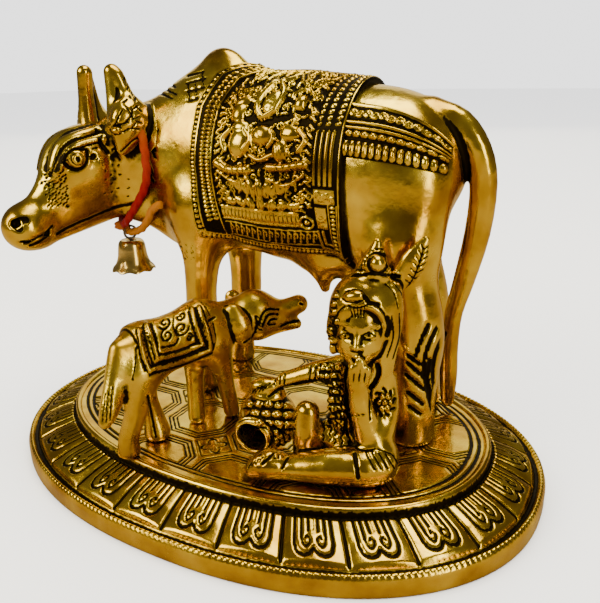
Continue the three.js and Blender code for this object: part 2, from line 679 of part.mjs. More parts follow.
// Thread around the neck: each point is pushed out of the cow until the thread clears her
function threadPath(cow) {
  const radius = THREAD_DIAMETER / 2;
  const side = [Math.SQRT1_2, -Math.SQRT1_2, 0];
  const points = [];
  for (let n = 0; n < THREAD_STEPS; n += 1) {
    const turn = 2 * Math.PI * n / THREAD_STEPS;
    const drop = Math.max(-Math.cos(turn), 0) ** 2;
    const rise = Math.max(Math.cos(turn), 0) ** 16;
    const start = [THREAD_LOOP.x - 7.2 * drop - 3.2 * rise, THREAD_LOOP.y - 3.4 * drop - 1.6 * rise, THREAD_LOOP.z];
    let reach = 2;
    let at = start;
    do {
      reach += 0.1;
      at = start.map((v, i) => v + reach * (Math.sin(turn) * side[i] + (i === 2 ? Math.cos(turn) : 0)));
    } while (cow(...at) < radius + SOLE_GAP);
    points.push(at);
  }
  return points;
}

// Free end of the thread: from the knot down through the hook, then up to rest on the neck
function threadTail(cow, knot) {
  const radius = THREAD_DIAMETER / 2;
  const bow = [BELL_PLACE.x, BELL_PLACE.y, BELL_PLACE.z + BELL_HEIGHT + HOOK_RISE];
  const rest = [[-43.6, 2, 58.6], [-39.6, 0.4, 61.6], [-35.6, -1, 65.6], [-31, -1.4, 67.8]].map(([x, y, z]) => {
    let side = y;
    while (cow(x, side, z) < radius + SOLE_GAP) {
      side -= 0.1;
    }
    return [x, side, z];
  });
  return [knot, bow, ...rest].map((at) => [...at, radius]);
}

function threadSolid(cow) {
  const radius = THREAD_DIAMETER / 2;
  const path = threadPath(cow);
  const strands = path.map((p, i) => bone([...p, radius], [...path[(i + 1) % path.length], radius]));
  const [x, y, z] = path.reduce((a, b) => (b[2] < a[2] ? b : a));
  const knot = egg([x - 0.4, y, z - 0.6], [1.9, 1.9, 1.7]);
  const tail = limb(...threadTail(cow, [x, y, z - 1]));
  const hook = hookField();
  const clear = (px, py, pz) => Math.min(cow(px, py, pz), hook(px, py, pz)) - SOLE_GAP;
  const thread = carve(0.2, meld(0.4, ...strands, knot, tail), clear);
  return solid(thin(skin(thread, [-62, -12, 52], [-26, 26, 100], 0.6), 500));
}

// Wire hook: an eye around the thread, a shank through the bell's crown and a bead inside
function hookField() {
  const { x, y } = BELL_PLACE;
  const crown = BELL_PLACE.z + BELL_HEIGHT;
  const wire = 0.36;
  const eye = ring([x, y, crown + HOOK_RISE], [0.9, -0.42, 0], HOOK_RISE - 0.5, wire);
  const shank = bone([x, y, crown + 0.5, wire], [x, y, crown - 2.2, wire]);
  const bead = egg([x, y, crown - 2.4], [1.25, 1.25, 0.8]);
  return meld(0.2, eye, shank, bead);
}

function hookSolid() {
  const { x, y } = BELL_PLACE;
  const crown = BELL_PLACE.z + BELL_HEIGHT;
  return solid(thin(skin(hookField(), [x - 3, y - 3, crown - 4], [x + 3, y + 3, crown + 6], 0.22), 280));
}

function piece(name, geometry, material) {
  const mesh = new THREE.Mesh(geometry, material);
  mesh.name = name;
  return mesh;
}

const statue = new THREE.Group();
statue.add(piece('base', baseSolid(), gold()));
statue.add(piece('cow', cowSolid(), gold()));
statue.add(piece('calf', calfSolid(), gold()));
statue.add(piece('seated_child', childSolid(), gold()));
statue.add(piece('neck_thread', threadSolid(cowField()), cotton()));
statue.add(piece('bell', bellSolid(), brass()));
statue.add(piece('bell_hook', hookSolid(), steel()));

export default statue;
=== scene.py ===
# Looks of the cow and calf statue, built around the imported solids. Lengths in the shape
# code are millimetres in the solids' frame; MM turns them into Blender's metres.
import math
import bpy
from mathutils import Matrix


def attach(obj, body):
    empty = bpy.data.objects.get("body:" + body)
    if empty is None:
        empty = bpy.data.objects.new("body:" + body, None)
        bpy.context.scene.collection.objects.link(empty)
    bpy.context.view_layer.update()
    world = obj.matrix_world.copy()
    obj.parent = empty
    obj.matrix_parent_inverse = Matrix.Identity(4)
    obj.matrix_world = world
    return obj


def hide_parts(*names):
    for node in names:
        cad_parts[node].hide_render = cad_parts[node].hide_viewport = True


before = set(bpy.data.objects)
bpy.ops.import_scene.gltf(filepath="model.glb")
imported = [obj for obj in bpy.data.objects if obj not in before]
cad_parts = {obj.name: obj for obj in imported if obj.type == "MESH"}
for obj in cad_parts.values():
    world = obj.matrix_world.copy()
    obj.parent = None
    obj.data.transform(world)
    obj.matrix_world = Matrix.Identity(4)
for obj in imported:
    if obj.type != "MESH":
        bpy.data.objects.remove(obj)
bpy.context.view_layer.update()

from concurrent.futures import ThreadPoolExecutor

import bpy
import numpy as np
from mathutils import Matrix

MM = 0.001

# Driving dimensions, as in the solids
BASE_LENGTH = 150
BASE_WIDTH = 106
OVAL_POWER = 2.2
DECK_HEIGHT = 11.2
RIM_HEIGHT = 11.8
RIM_INSET = 15
PETALS = 27
SOLE_GAP = 0.3
COW_MIDDLE = 14.5
COW_AXIS = 76
CLOTH = 1.2
CLOTH_REACH = 21                  # mean radius on which the cloths' v is measured around her
BELL_HEIGHT = 9.2
BELL_RADIUS = 6.6
BELL_WALL = 0.9
BELL_HOLE = 0.9
HOOK_RISE = 2.4
THREAD_DIAMETER = 2.2
THREAD_SIDES = 24                 # points around the thread

# Where each figure stands and which way it faces: x, y and heading in degrees
HEAD_FRAME = (-53.5, 3, 249)
NECK_FRAME = (-28, COW_MIDDLE, 204.5)
CALF_FRAME = (-15, -22, 71)
CALF_HEAD_FRAME = (-9, -4, 35)
CHILD_FRAME = (33, -17, 28.8)
BELL_PLACE = (-49.4, 3.5, 45.3)
THREAD_LOOP = (-45.5, 7.5, 77)

# Camera: view of the photo
CAMERA_TARGET = (3.5, 12.6, 40)
CAMERA_DISTANCE = 185
CAMERA_AZIMUTH = 28.8
CAMERA_ELEVATION = 19.3
CAMERA_ROLL = -0.86
CAMERA_LENS = 38.87


def cos_sin(degrees):
    angle = math.radians(degrees)
    return math.cos(angle), math.sin(angle)


# Signed distance fields: a field takes arrays x, y, z and is negative inside the shape

def egg(centre, radii, pitch=0):
    """Ellipsoid with its long axes tilted nose-up by pitch degrees in the plane of x and z."""
    c, s = cos_sin(pitch)
    rx, ry, rz = radii

    def field(x, y, z):
        dx = x - centre[0]
        dz = z - centre[2]
        px = (dx * c + dz * s) / rx
        py = (y - centre[1]) / ry
        pz = (dz * c - dx * s) / rz
        near = np.sqrt(px * px + py * py + pz * pz)
        slope = np.sqrt((px / rx) ** 2 + (py / ry) ** 2 + (pz / rz) ** 2)
        return near * (near - 1) / np.maximum(slope, 1e-6)
    return field


def bone(a, b):
    """Rounded cone between two balls, each given as x, y, z and radius."""
    ux, uy, uz = b[0] - a[0], b[1] - a[1], b[2] - a[2]
    ra, rb = a[3], b[3]
    span = ux * ux + uy * uy + uz * uz
    drop = ra - rb
    flank = span - drop * drop

    def field(x, y, z):
        px = x - a[0]
        py = y - a[1]
        pz = z - a[2]
        along = px * ux + py * uy + pz * uz
        past = along - span
        side = np.maximum((px * px + py * py + pz * pz) * span - along * along, 0) * span
        k = math.copysign(drop * drop, drop) * side
        body = (np.sqrt(side * flank / span) + along * drop) / span - ra
        first = np.sqrt(side + along * along * span) / span - ra
        last = np.sqrt(side + past * past * span) / span - rb
        body = np.where(np.sign(along) * flank * along * along * span < k, first, body)
        return np.where(np.sign(past) * flank * past * past * span > k, last, body)
    return field


def ring(centre, axis, radius, thickness):
    """Torus around an axis direction."""
    size = math.hypot(*axis)

    def field(x, y, z):
        px = x - centre[0]
        py = y - centre[1]
        pz = z - centre[2]
        along = (px * axis[0] + py * axis[1] + pz * axis[2]) / size
        out = np.sqrt(np.maximum(px * px + py * py + pz * pz - along * along, 0))
        return np.hypot(out - radius, along) - thickness
    return field


def blend_fields(softness, d, e):
    """The smaller of two fields, with a fillet where they are about equal."""
    h = np.maximum(softness - np.abs(d - e), 0) / softness
    return np.minimum(d, e) - h * h * softness / 4


def meld(softness, *fields):
    """Shapes grown together with fillets."""
    def field(x, y, z):
        d = fields[0](x, y, z)
        for other in fields[1:]:
            d = blend_fields(softness, d, other(x, y, z))
        return d
    return field


def carve(softness, body, tool):
    """A body with a tool's shape cut out of it."""
    def field(x, y, z):
        return -blend_fields(softness, -body(x, y, z), tool(x, y, z))
    return field


def limb(*balls):
    """Round limb on a smooth curve, whose thickness follows the balls it passes through."""
    path = bend(balls, 3)
    bones = [bone(a, b) for a, b in zip(path, path[1:])]

    def field(x, y, z):
        d = bones[0](x, y, z)
        for part in bones[1:]:
            d = np.minimum(d, part(x, y, z))
        return d
    return field


def squeeze(field, middle, factor):
    """The same field, squeezed in y about the plane y = middle."""
    return lambda x, y, z: field(x, middle + (y - middle) / factor, z) * min(factor, 1)


def mirror(field):
    """The positive-y half of a field, on both sides."""
    return lambda x, y, z: field(x, np.abs(y), z)


def local(frame_of, x, y):
    """Statue x, y in a figure's own frame: along its heading, and across it."""
    c, s = cos_sin(frame_of[2])
    dx = x - frame_of[0]
    dy = y - frame_of[1]
    return dx * c + dy * s, dx * s - dy * c


def placed(frame_of, field):
    """A field drawn in a figure's own frame, put where the figure stands."""
    def moved(x, y, z):
        along, across = local(frame_of, x, y)
        return field(along, across, z)
    return moved


def standing(field):
    """Cuts a figure level with the deck inside the rim, and with the rim where a hoof meets it."""
    along = BASE_LENGTH / 2 - RIM_INSET
    across = BASE_WIDTH / 2 - RIM_INSET

    def cut(x, y, z):
        oval = np.abs(x / along) ** OVAL_POWER + np.abs(y / across) ** OVAL_POWER
        sole = np.where(oval > 0.96, RIM_HEIGHT, DECK_HEIGHT) + SOLE_GAP
        return np.maximum(field(x, y, z), sole - z)
    return cut


# Mesh of a field

BLOCK = 8                         # grid samples along a block's edge
BATCH = 96                        # blocks that one thread works out at a time
WORKERS = 4
FIELD_SLACK = 1.3                 # how far a field may overstate a distance


def sample_grid(field, low, high, step):
    """Field values on a grid, worked out only in blocks that can hold the surface."""
    blocks = [int(math.ceil((high[i] - low[i]) / step / BLOCK)) for i in range(3)]
    first = np.stack(np.meshgrid(*(np.arange(n) for n in blocks), indexing="ij"), -1).reshape(-1, 3) * BLOCK
    middle = np.array(low) + (first + (BLOCK - 1) / 2) * step
    rough = field(middle[:, 0], middle[:, 1], middle[:, 2])
    reach = 0.5 * math.sqrt(3) * BLOCK * step * FIELD_SLACK + 0.6
    close = np.flatnonzero(np.abs(rough) < reach)
    value = np.repeat(np.sign(rough)[:, None] * reach, BLOCK ** 3, 1)
    inner = np.stack(np.meshgrid(*(np.arange(BLOCK),) * 3, indexing="ij"), -1).reshape(-1, 3)

    def work(rows):
        at = np.array(low) + (first[rows][:, None, :] + inner[None]) * step
        value[rows] = field(at[..., 0], at[..., 1], at[..., 2])
    groups = [close[i:i + BATCH] for i in range(0, len(close), BATCH)]
    with ThreadPoolExecutor(WORKERS) as pool:
        list(pool.map(work, groups))
    shape = [n * BLOCK for n in blocks]
    cube = value.reshape(*blocks, BLOCK, BLOCK, BLOCK).transpose(0, 3, 1, 4, 2, 5)
    return cube.reshape(shape)


CORNERS = [(i, j, k) for i in (0, 1) for j in (0, 1) for k in (0, 1)]
EDGES = [(a, b) for a in range(8) for b in range(a + 1, 8)
         if sum(abs(p - q) for p, q in zip(CORNERS[a], CORNERS[b])) == 1]


def skin(field, low, high, step):
    """Closed quad mesh of a field's zero surface: points and faces."""
    value = sample_grid(field, low, high, step)
    inside = value < 0
    cells = [inside[i:i - 1 or None, j:j - 1 or None, k:k - 1 or None] for i, j, k in CORNERS]
    count = sum(cell.astype(np.int8) for cell in cells)
    active = np.argwhere((count > 0) & (count < 8))
    number = np.full(count.shape, -1, np.int32)
    number[tuple(active.T)] = np.arange(len(active))
    corner = np.stack([value[tuple((active + offset).T)] for offset in CORNERS], 1)
    total = np.zeros((len(active), 3))
    hits = np.zeros(len(active))
    for a, b in EDGES:
        va, vb = corner[:, a], corner[:, b]
        cross = (va < 0) != (vb < 0)
        share = np.where(cross, va / np.where(cross, va - vb, 1), 0)
        place = np.array(CORNERS[a]) + share[:, None] * (np.array(CORNERS[b]) - CORNERS[a])
        total += place * cross[:, None]
        hits += cross
    points = np.array(low) + (active + total / hits[:, None]) * step
    faces = []
    for axis in range(3):
        u, v = (axis + 1) % 3, (axis + 2) % 3
        lower = [slice(1, -1)] * 3
        lower[axis] = slice(0, -1)
        upper = list(lower)
        upper[axis] = slice(1, None)
        start, end = inside[tuple(lower)], inside[tuple(upper)]
        for turned in (False, True):
            at = np.argwhere((end & ~start) if turned else (start & ~end))
            at[:, u] += 1
            at[:, v] += 1
            ids = []
            for du, dv in ((0, 0), (-1, 0), (-1, -1), (0, -1)):
                cell = at.copy()
                cell[:, u] += du
                cell[:, v] += dv
                ids.append(number[tuple(cell.T)])
            quad = np.stack(ids, 1)
            faces.append(quad[:, ::-1] if turned else quad)
    return points, np.concatenate(faces)


def tighten(field, points, faces, rounds=2):
    """Moves mesh points onto the field's surface along their normals."""
    for _ in range(rounds):
        normal = normals_of(points, faces)
        d = field(points[:, 0], points[:, 1], points[:, 2])
        points = points - normal * np.clip(d, -0.4, 0.4)[:, None]
    return points


def scatter(rows, values, size):
    """Sums values into rows."""
    return np.stack([np.bincount(rows, values[:, i], size) for i in range(values.shape[1])], 1)


def normals_of(points, faces):
    """Unit normals at the points of a quad mesh."""
    corner = points[faces]
    normal = np.cross(corner[:, 2] - corner[:, 0], corner[:, 3] - corner[:, 1])
    total = scatter(faces.T.ravel(), np.tile(normal, (4, 1)), len(points))
    return total / np.maximum(np.linalg.norm(total, axis=1), 1e-9)[:, None]


# Cow

def cow_torso():
    m = COW_MIDDLE
    return meld(8,
                egg((-22, m, 77), (20, 15.5, 23)),
                egg((4, m, 76), (34, 17.5, 24.2)),
                egg((27.2, m, 79), (20.8, 16.5, 18.4), 12),
                egg((-32, m - 0.5, 63), (9.5, 8.5, 10)),
                squeeze(limb((-20, m, 92, 12), (-20, m, 101, 7)), m, 0.62))


def cow_neck():
    return placed(NECK_FRAME, squeeze(meld(6,
                                           bone((2, 0, 78.5, 19), (20, 0, 77.6, 15.2)),
                                           bone((3, 0, 66, 12), (21, 0, 70.5, 9))), 0, 0.66))


def cow_head():
    skull = meld(5,
                 egg((7.5, 0, 79), (12.5, 9.2, 9.6), -12),
                 squeeze(limb((8, 0, 76, 9), (18, 0, 70, 5.8), (22.5, 0, 66.4, 4.6), (26.5, 0, 63.5, 4.8)),
                         0, 0.95),
                 squeeze(bone((3, 0, 68.5, 7.6), (22, 0, 60.5, 4)), 0, 0.85),
                 egg((27, 0, 62), (5.6, 6.0, 5.2), -20))
    horn = meld(0.8,
                limb((1.5, 8.4, 85, 3.3), (1.6, 9.2, 89.5, 2.5), (1.4, 9.4, 96, 2.2), (1.2, 9, 102.2, 2.2)),
                limb((-0.6, 10.2, 85, 3.3), (-0.8, 11.2, 90.5, 2.3), (-0.9, 11.4, 96, 2),
                     (0.4, 10.2, 101.4, 1.8)))
    ear = squeeze(limb((-1, 11, 90, 3.6), (-1.4, 12.8, 87.5, 5), (1.6, 12.4, 81.6, 1.4)), 12.4, 0.6)
    near_ear = squeeze(limb((-0.8, -11, 90.6, 3.8), (0.2, -16, 89.4, 5.6), (3.2, -15.6, 82.4, 1.4)),
                       -14, 0.6)
    brow = limb((18.5, 5.6, 75.5, 1.1), (14.6, 7.2, 82.4, 1.3), (6, 8.2, 85, 1.2))
    eye = egg((12.6, 7.6, 80), (3.1, 2.2, 2.6))
    nostril = egg((31, 4.4, 64.5), (1.6, 1.6, 1.2))
    mouth = bone((31, 4.6, 58.8, 0.7), (23, 5.2, 61.2, 0.7))
    face = meld(1.2, meld(2.5, skull, horn, ear), brow, eye)
    return placed(HEAD_FRAME, meld(2.5, mirror(carve(0.8, carve(0.8, face, nostril), mouth)), near_ear))


def cow_legs():
    front = limb((-23, 5.5, 66, 9.5), (-23.4, 4, 53, 5.6), (-23.8, 3.2, 44, 4.5), (-24, 3, 37, 4.4),
                 (-24.4, 3, 31, 3.5), (-24.7, 3, 22, 3.3), (-25, 3, 17.5, 4), (-25.4, 3, 13, 4.7))
    far_front = limb((-22, 23.5, 66, 9.5), (-23, 25.4, 53, 6), (-23.6, 26.4, 43, 4.9), (-24.2, 27, 35, 4.8),
                     (-25, 27, 29, 4), (-26, 27, 22, 3.7), (-27, 27, 17, 4.3), (-27.6, 27, 13, 4.9))
    hind = meld(6,
                egg((33.4, 6.5, 71), (12, 8, 19), 6),
                limb((33.6, 5.5, 62, 9.8), (36.8, 4.8, 53, 8), (39.8, 4.2, 44.5, 7.2), (41.2, 4, 38, 6.6),
                     (41, 4, 31, 6), (40.6, 4, 22, 5.8), (40.5, 4, 17, 6), (40.5, 4, 13, 6.2)))

    def far_hind(x, y, z):
        return hind(x + 5, 2 * COW_MIDDLE - y, z)
    return meld(3, front, far_front, hind, far_hind)


def cow_tail():
    m = COW_MIDDLE
    return limb((39, m, 92.2, 3.4), (45.4, m, 89.8, 3.3), (50, m, 84, 3.2), (51.8, m + 1, 76, 3.2),
                (51, m + 2, 64, 3.1), (48.1, m + 4, 51, 2.7), (45.6, m + 5.5, 41, 2.3),
                (44.8, m + 6.6, 31, 2.3), (44.8, m + 7.4, 22, 2.4), (44.8, m + 8, 14, 1.8))


def cow_udder():
    teats = [bone((x, COW_MIDDLE + y, 51, 2.4), (x + 0.8, COW_MIDDLE + y, 47, 1.3))
             for x, y in ((13, -6.5), (21, -5), (10, 4), (18, 5))]
    return meld(2.5, egg((14, COW_MIDDLE - 2, 54), (9, 8, 5)), *teats)


def cow_body():
    """Torso, neck, legs and udder: what the cloths lie on."""
    return meld(5, meld(6, cow_torso(), cow_neck(), cow_legs()), cow_udder())


def head_relief():
    """Side of the cow's head, the same on both sides: u from poll to nose, v up."""
    r = Relief(-9, 37, 54, 108)
    r.fold([(5, 87.6), (8, 87), (12, 86), (15.6, 84.2), (17.8, 81.2), (19.4, 77)], 1.5, 0.75)
    r.fold([(7, 85), (11, 84.3), (14.4, 83.2), (16.8, 80.6), (18.2, 77.4)], 1.2, 0.65)
    r.cut([(6.4, 86.2), (9.6, 85.6), (13.4, 84.6), (16.4, 82.2), (18.6, 77.6)], 0.8, 0.45)
    r.cut([(4.4, 88.9), (8.4, 88.2), (12.6, 87.2), (16.6, 85.1), (19.2, 81.6), (20.6, 77.4)], 0.8, 0.4)
    r.cut([(7.4, 84.1), (11, 83.5), (13.8, 82.6)], 0.7, 0.4)
    r.dome(13.7, 80.4, 2.3, 2.3, 0.7)
    r.cut([(10.6, 82.4), (11.2, 80.4), (12.2, 78.5), (14, 77.4), (15.8, 78.1), (16.9, 79.6)], 1.1, 0.6)
    r.cut([(10.9, 82.6), (12.6, 82.9), (14.6, 82.7), (16.2, 81.2), (16.9, 79.6)], 0.7, 0.45)
    r.groove(arc(13.8, 80.3, 1.35, 1.35, range(26)), 0.35, 0.2, 0.7)
    r.groove([(13.8, 80.1), (13.85, 80.5)], 1.1, 0.45)
    r.groove([(9.2, 80.8), (9.7, 80.4)], 1.7, 0.6)
    r.groove([(8.3, 80), (8.6, 79.7)], 0.6, 0.2)
    r.cut([(28.4, 65.4), (29.4, 65.4), (30.4, 64.4), (30.4, 63.2)], 2.2, 0.5)
    r.cut([(21.6, 62.6), (23.4, 61.4), (26, 60.4), (29.2, 59.2)], 0.9, 0.5)
    r.cut([(23, 60.4), (26, 58.9), (28, 58.2)], 1.3, 0.3, 0.7)
    r.cut([(-2, 67.4), (3, 65.4), (9, 63.6), (15, 61.8), (20, 60)], 1.6, 0.25, 0.45)
    r.dashes(strewn(70, 16.4, 67.5, 5.4, 10.5), 0.3, -0.3, 0.55, 0.2, 0.65)
    r.dashes(strewn(12, 1, 69, 7, 9), 0.2, -0.2, 0.45, 0.2, 0.7)
    return r


def ear_lines(r):
    """Hair cracks on the ear, a band at the horn's foot and a rough strip up the horn."""
    for u, v, du, dv in ((-1.6, 93.8, 2.6, -1.2), (-1.9, 92.2, 1.2, 1.5), (0.6, 93.4, 0.6, -2.6),
                         (2.4, 94, -1, -2.2), (-1.2, 91, 2.4, -0.6), (1.4, 91.2, 1.6, -1.4),
                         (3.2, 92.8, 1.5, -1.9), (-1.4, 89.2, 1.6, 0.6), (0.4, 89.4, 1.2, -1.4),
                         (2.4, 89.6, 2.4, -0.4), (4.6, 90.8, 0.8, -1.6), (-0.6, 87.7, 2.2, 0.2),
                         (2.2, 88, 1.6, -0.8), (4.4, 88.4, 1.4, 0.4), (0.8, 95.4, 1.4, -0.8)):
        r.groove([(u, v), (u + du, v + dv)], 0.5, 0.3, 0.9)
    r.groove([(-1.6, 85.8), (-1, 85.5)], 1.7, 0.6)
    r.cut([(-0.8, 85.8), (1.4, 84.6), (4, 82)], 0.6, 0.3)
    r.cut([(5.2, 81.6), (6.4, 83.4), (7, 85), (6, 86.6)], 1.5, 0.4)
    strip = [(-1.5, 95.4), (-1.9, 97), (-1.2, 98.4), (-1.8, 99.6), (-0.6, 96.2), (-0.9, 100.8),
             (-2.2, 95.9)]
    r.dashes(strip, 0.3, -0.5, 0.7, 0.3, 0.85)


# Calf

def calf_trunk():
    body = meld(3.5,
                egg((-9.0, 0, 35.6), (7.6, 6.2, 8.4)),
                egg((1, 0, 36.8), (12.5, 5.8, 7.0), 4),
                egg((9.5, 0, 37.5), (7, 5.8, 8.4)))
    neck = bone((11, 0, 38, 6), (17, 1.5, 39, 5))
    legs = meld(2.5,
                limb((-11, 2.6, 33, 5), (-13, 3, 24, 2.9), (-15.2, 2.0, 17, 2.5), (-15.6, 1.8, 13, 2.8)),
                limb((-8, -2.6, 33, 4.6), (-7, -2.6, 24, 2.6), (-6, -2, 18, 2.5), (-5.6, -1.4, 13, 3.4)),
                limb((11.5, 2.8, 34, 4.4), (13.6, 3, 24, 2.4), (15.6, 2.6, 13, 2.2)),
                limb((8.5, -2.8, 34, 4), (7.6, -2.4, 23, 2.4), (6.6, -1, 13, 2.4)))
    tail = limb((-15.6, 1.5, 40, 1.5), (-18, 2.5, 34, 1.7), (-20, 4, 28, 2.4), (-22, 4.6, 24.6, 1.6))
    return body, meld(4, meld(3, body, neck, legs), tail)


def calf_skull():
    return meld(3, egg((6, 0, 40), (5.6, 4.6, 6.2)),
                bone((1, 0, 38, 5.2), (6, 0, 37.5, 5)),
                limb((8, 0, 40.6, 4.2), (13.6, 0, 40.2, 2.9), (18.6, 0, 41.6, 2.6)),
                bone((8, 0, 37, 4.2), (18, 0, 35.8, 1.4)))


def calf_field():
    body, trunk = calf_trunk()
    ear = squeeze(limb((0.8, 5.6, 42.4, 2.2), (2.2, 7.0, 38.4, 3.2), (3.6, 7.2, 33.8, 1.2)), 7.0, 0.6)

    def clothed(x, y, z):
        blanket = np.maximum(np.maximum(body(x, y, z) - 0.8, 33.5 - z), np.maximum(-11.5 - x, x - 8.6))
        return np.minimum(trunk(x, y, z), blanket)
    whole = meld(3, placed(CALF_FRAME, clothed), placed(CALF_HEAD_FRAME, calf_skull()))
    return standing(meld(0.8, whole, placed(CALF_HEAD_FRAME, mirror(ear))))


def calf_side():
    """Blanket and hair lines on the calf: u from tail to chest, v up."""
    r = Relief(-28, 22, 8, 52)
    for line in (((-11.4, 45), (-10.8, 39), (-10, 35), (-9.4, 33.8)), ((-9.3, 46), (-8, 41), (-7.2, 36.2)),
                 ((3.6, 46.5), (4.6, 41), (6, 36.2)), ((5.7, 46.3), (7.2, 41), (8.2, 36.2), (8.2, 34)),
                 ((-7.2, 36.2), (0, 35.7), (6, 36.2)), ((-9.4, 34), (0, 33.5), (8.2, 34))):
        r.fold(line, 1.0, 0.65)
    for line in (((-10.2, 45.5), (-9.4, 39.5), (-8.4, 35.2)), ((4.7, 46.4), (5.9, 41), (7.2, 35.6)),
                 ((-8.4, 35), (0, 34.6), (7.2, 35)),
                 ((-7.9, 45.8), (-6.8, 41), (-6.2, 37.2), (0, 36.7), (4.4, 37)),
                 ((2.6, 46), (3.6, 41.4), (4.5, 37.2)), ((-12, 45), (-11.5, 39), (-10.6, 34.4)),
                 ((-9.6, 32.8), (0, 32.4), (8.8, 32.8))):
        r.cut(line, 0.8, 0.35)
    for scroll in ((-4.2, 45, 1.8, 200, 1.3), (0.3, 42.2, 2.2, 0, -1.3), (-3.8, 41.5, 1.9, 90, 1.3),
                   (0.5, 45.5, 1.2, 180, 1.2), (2.3, 39.2, 1.1, 90, -1.2)):
        r.groove(spiral(*scroll), 0.65, 0.4)
    r.cut([(-5.6, 38.8), (-2, 38.5), (-0.8, 39.8)], 0.7, 0.35)
    r.cut([(-1.6, 46.8), (-2, 43.6), (-1.2, 40.6)], 0.5, 0.3)
    r.groove([(8.4, 42), (10.2, 42.4)], 0.9, 0.4)
    for n in range(6):
        u = -19.4 - 1.0 * n
        r.cut([(u, 33 - n * 0.6), (u - 0.9, 29 - n * 0.5), (u - 1.6, 24.6)], 0.45, 0.3, 0.9)
    r.cut([(-10.5, 27.5), (-10.2, 22), (-9.6, 15.5)], 0.8, 0.35)
    r.cut([(-14.2, 33), (-13, 37), (-12.4, 41)], 0.6, 0.2, 0.6)
    return r


def calf_face():
    """Eye, mouth and nostril of the calf, the same on both sides."""
    r = Relief(-4, 24, 28, 50)
    for line in (((7.4, 37.4), (8.2, 40), (9.8, 41.7), (12.8, 41.5)),
                 ((8.4, 37), (9.4, 39.2), (10.6, 40.3), (12.6, 40.2)),
                 ((9.8, 37.6), (10.8, 38.8), (12.2, 38.8))):
        r.cut(line, 0.75, 0.4)
    r.fold([(7.9, 37.2), (8.8, 39.7), (10.2, 41), (12.7, 40.9)], 0.6, 0.4)
    r.groove([(10.2, 37.2), (11.9, 37.3)], 0.6, 0.3)
    r.cut([(13.4, 36.6), (15, 37.3), (17, 37.9), (19.6, 38.4)], 0.9, 0.4)
    r.groove([(18.7, 42.9), (19.4, 42.6)], 0.8, 0.35)
    r.cut([(3.2, 32.4), (5.4, 34), (6.9, 37.2), (6.6, 40)], 0.7, 0.35)
    r.dashes(strewn(12, 6.4, 35.5, 2, 4.5), 0.3, -0.3, 0.5, 0.25, 0.8)
    return r


# Seated child with a pot

def child_front():
    """Dress, ornaments and hair of the child, as seen from the front: u to the child's left, v up."""
    r = Relief(-30, 20, 8, 72, 0.08)
    child_head_marks(r)
    child_arm_marks(r)
    child_lap_marks(r)
    return r


def child_head_marks(r):
    r.cut([(-4, 47), (-3.9, 50), (-3.2, 52.4), (-1.4, 53.6), (0.8, 53), (3.6, 53.8), (6, 52.6), (7.4, 50)],
          0.5, 0.3)
    r.cut([(7.4, 50.6), (7.9, 48.8), (7.5, 46.6)], 1.4, 0.5)
    for flip in (-1, 1):
        def side(line):
            return bend([(0.8 + flip * u, v) for u, v in line])
        r.groove(side([(1.2, 46.5), (2.6, 47.3), (4.2, 46.4)]), 0.4, 0.2, 0.9)
        r.groove(side([(1.4, 46.2), (2.6, 45.8), (4, 46.1)]), 0.3, 0.15, 0.6)
        r.groove(side([(1.0, 48.5), (2.6, 49.1), (4.6, 48.4)]), 0.3, 0.1, 0.6)
        r.groove([(0.8 + flip * 2.6, 46.6), (0.8 + flip * 2.6, 46.4)], 0.7, 0.1, 0.9)
    r.dome(0, 55.8, 2.3, 1.2, 0.9, 8)
    r.cut([(-2.6, 55.2), (-1, 54.5), (1.4, 54.4), (2.6, 55.8), (1, 57.3), (-1.8, 57)], 0.35, 0.25, 0.9)
    r.groove([(2.4, 55.6), (3.4, 54.2), (5.2, 53.8)], 1.3, 0.45)
    for n in range(5):
        r.groove([(-0.8 + 0.8 * n, 53.4), (-0.2 + 0.6 * n, 51 - 0.1 * n)], 0.35, 0.25, 0.85)
    for line in (((6.6, 58.6), (8.6, 56.4), (9.6, 53)), ((8.2, 59), (10.4, 56), (11, 52.4)),
                 ((-4.6, 57.6), (-3.4, 59), (-1.4, 60))):
        r.cut(line, 0.35, 0.2, 0.7)
    r.groove([(-1, 60.4), (4, 60.7), (9.6, 60.2)], 0.9, 0.4)
    r.beads([(-0.6, 61.2), (2.4, 60.9)], 1.1, 0.55, 0.5, 0.6)
    r.beads([(7.6, 60.9), (9.6, 61)], 1.1, 0.55, 0.5, 0.6)
    r.dome(5, 63, 1.5, 1.7, 0.9)
    r.groove(arc(5, 63, 2.1, 2.2, range(26)), 0.8, 0.4)
    r.beads(arc(5, 62.8, 2.9, 2.8, range(-2, 15)), 0.9, 0.42, 0.42, 0.5)
    r.groove([(4.4, 66.2), (6.6, 66.1)], 0.5, 0.3)
    for n in range(7):
        v = 58 + 1.3 * n
        r.groove([(12.4 + 0.35 * n, v), (14.9 + 0.2 * n, v + 1.3)], 0.35, 0.3, 0.85)
        r.groove([(12.4 + 0.35 * n, v + 0.2), (11 + 0.5 * n, v + 1.2)], 0.35, 0.3, 0.85)
    r.cut([(11, 56.8), (13, 60.4), (14.6, 66.2)], 0.4, 0.3)
    for u, v in ((-4.4, 56.2), (-4.8, 54.2), (-4.9, 52.2), (-4.3, 50), (-4.8, 47.8), (-4.7, 45.6)):
        r.dome(u, v, 1.1, 1.0, 0.7)
        r.groove(arc(u, v, 0.5, 0.5, range(14), 3), 0.3, 0.25, 0.9)
        r.groove([(u - 1, v - 1), (u + 1.1, v - 1)], 0.35, 0.3)
    for line in (((8.4, 51), (8.8, 46), (7.6, 41.4)), ((10, 51.6), (10.2, 46.4), (9, 41))):
        r.cut(line, 0.45, 0.25, 0.7)


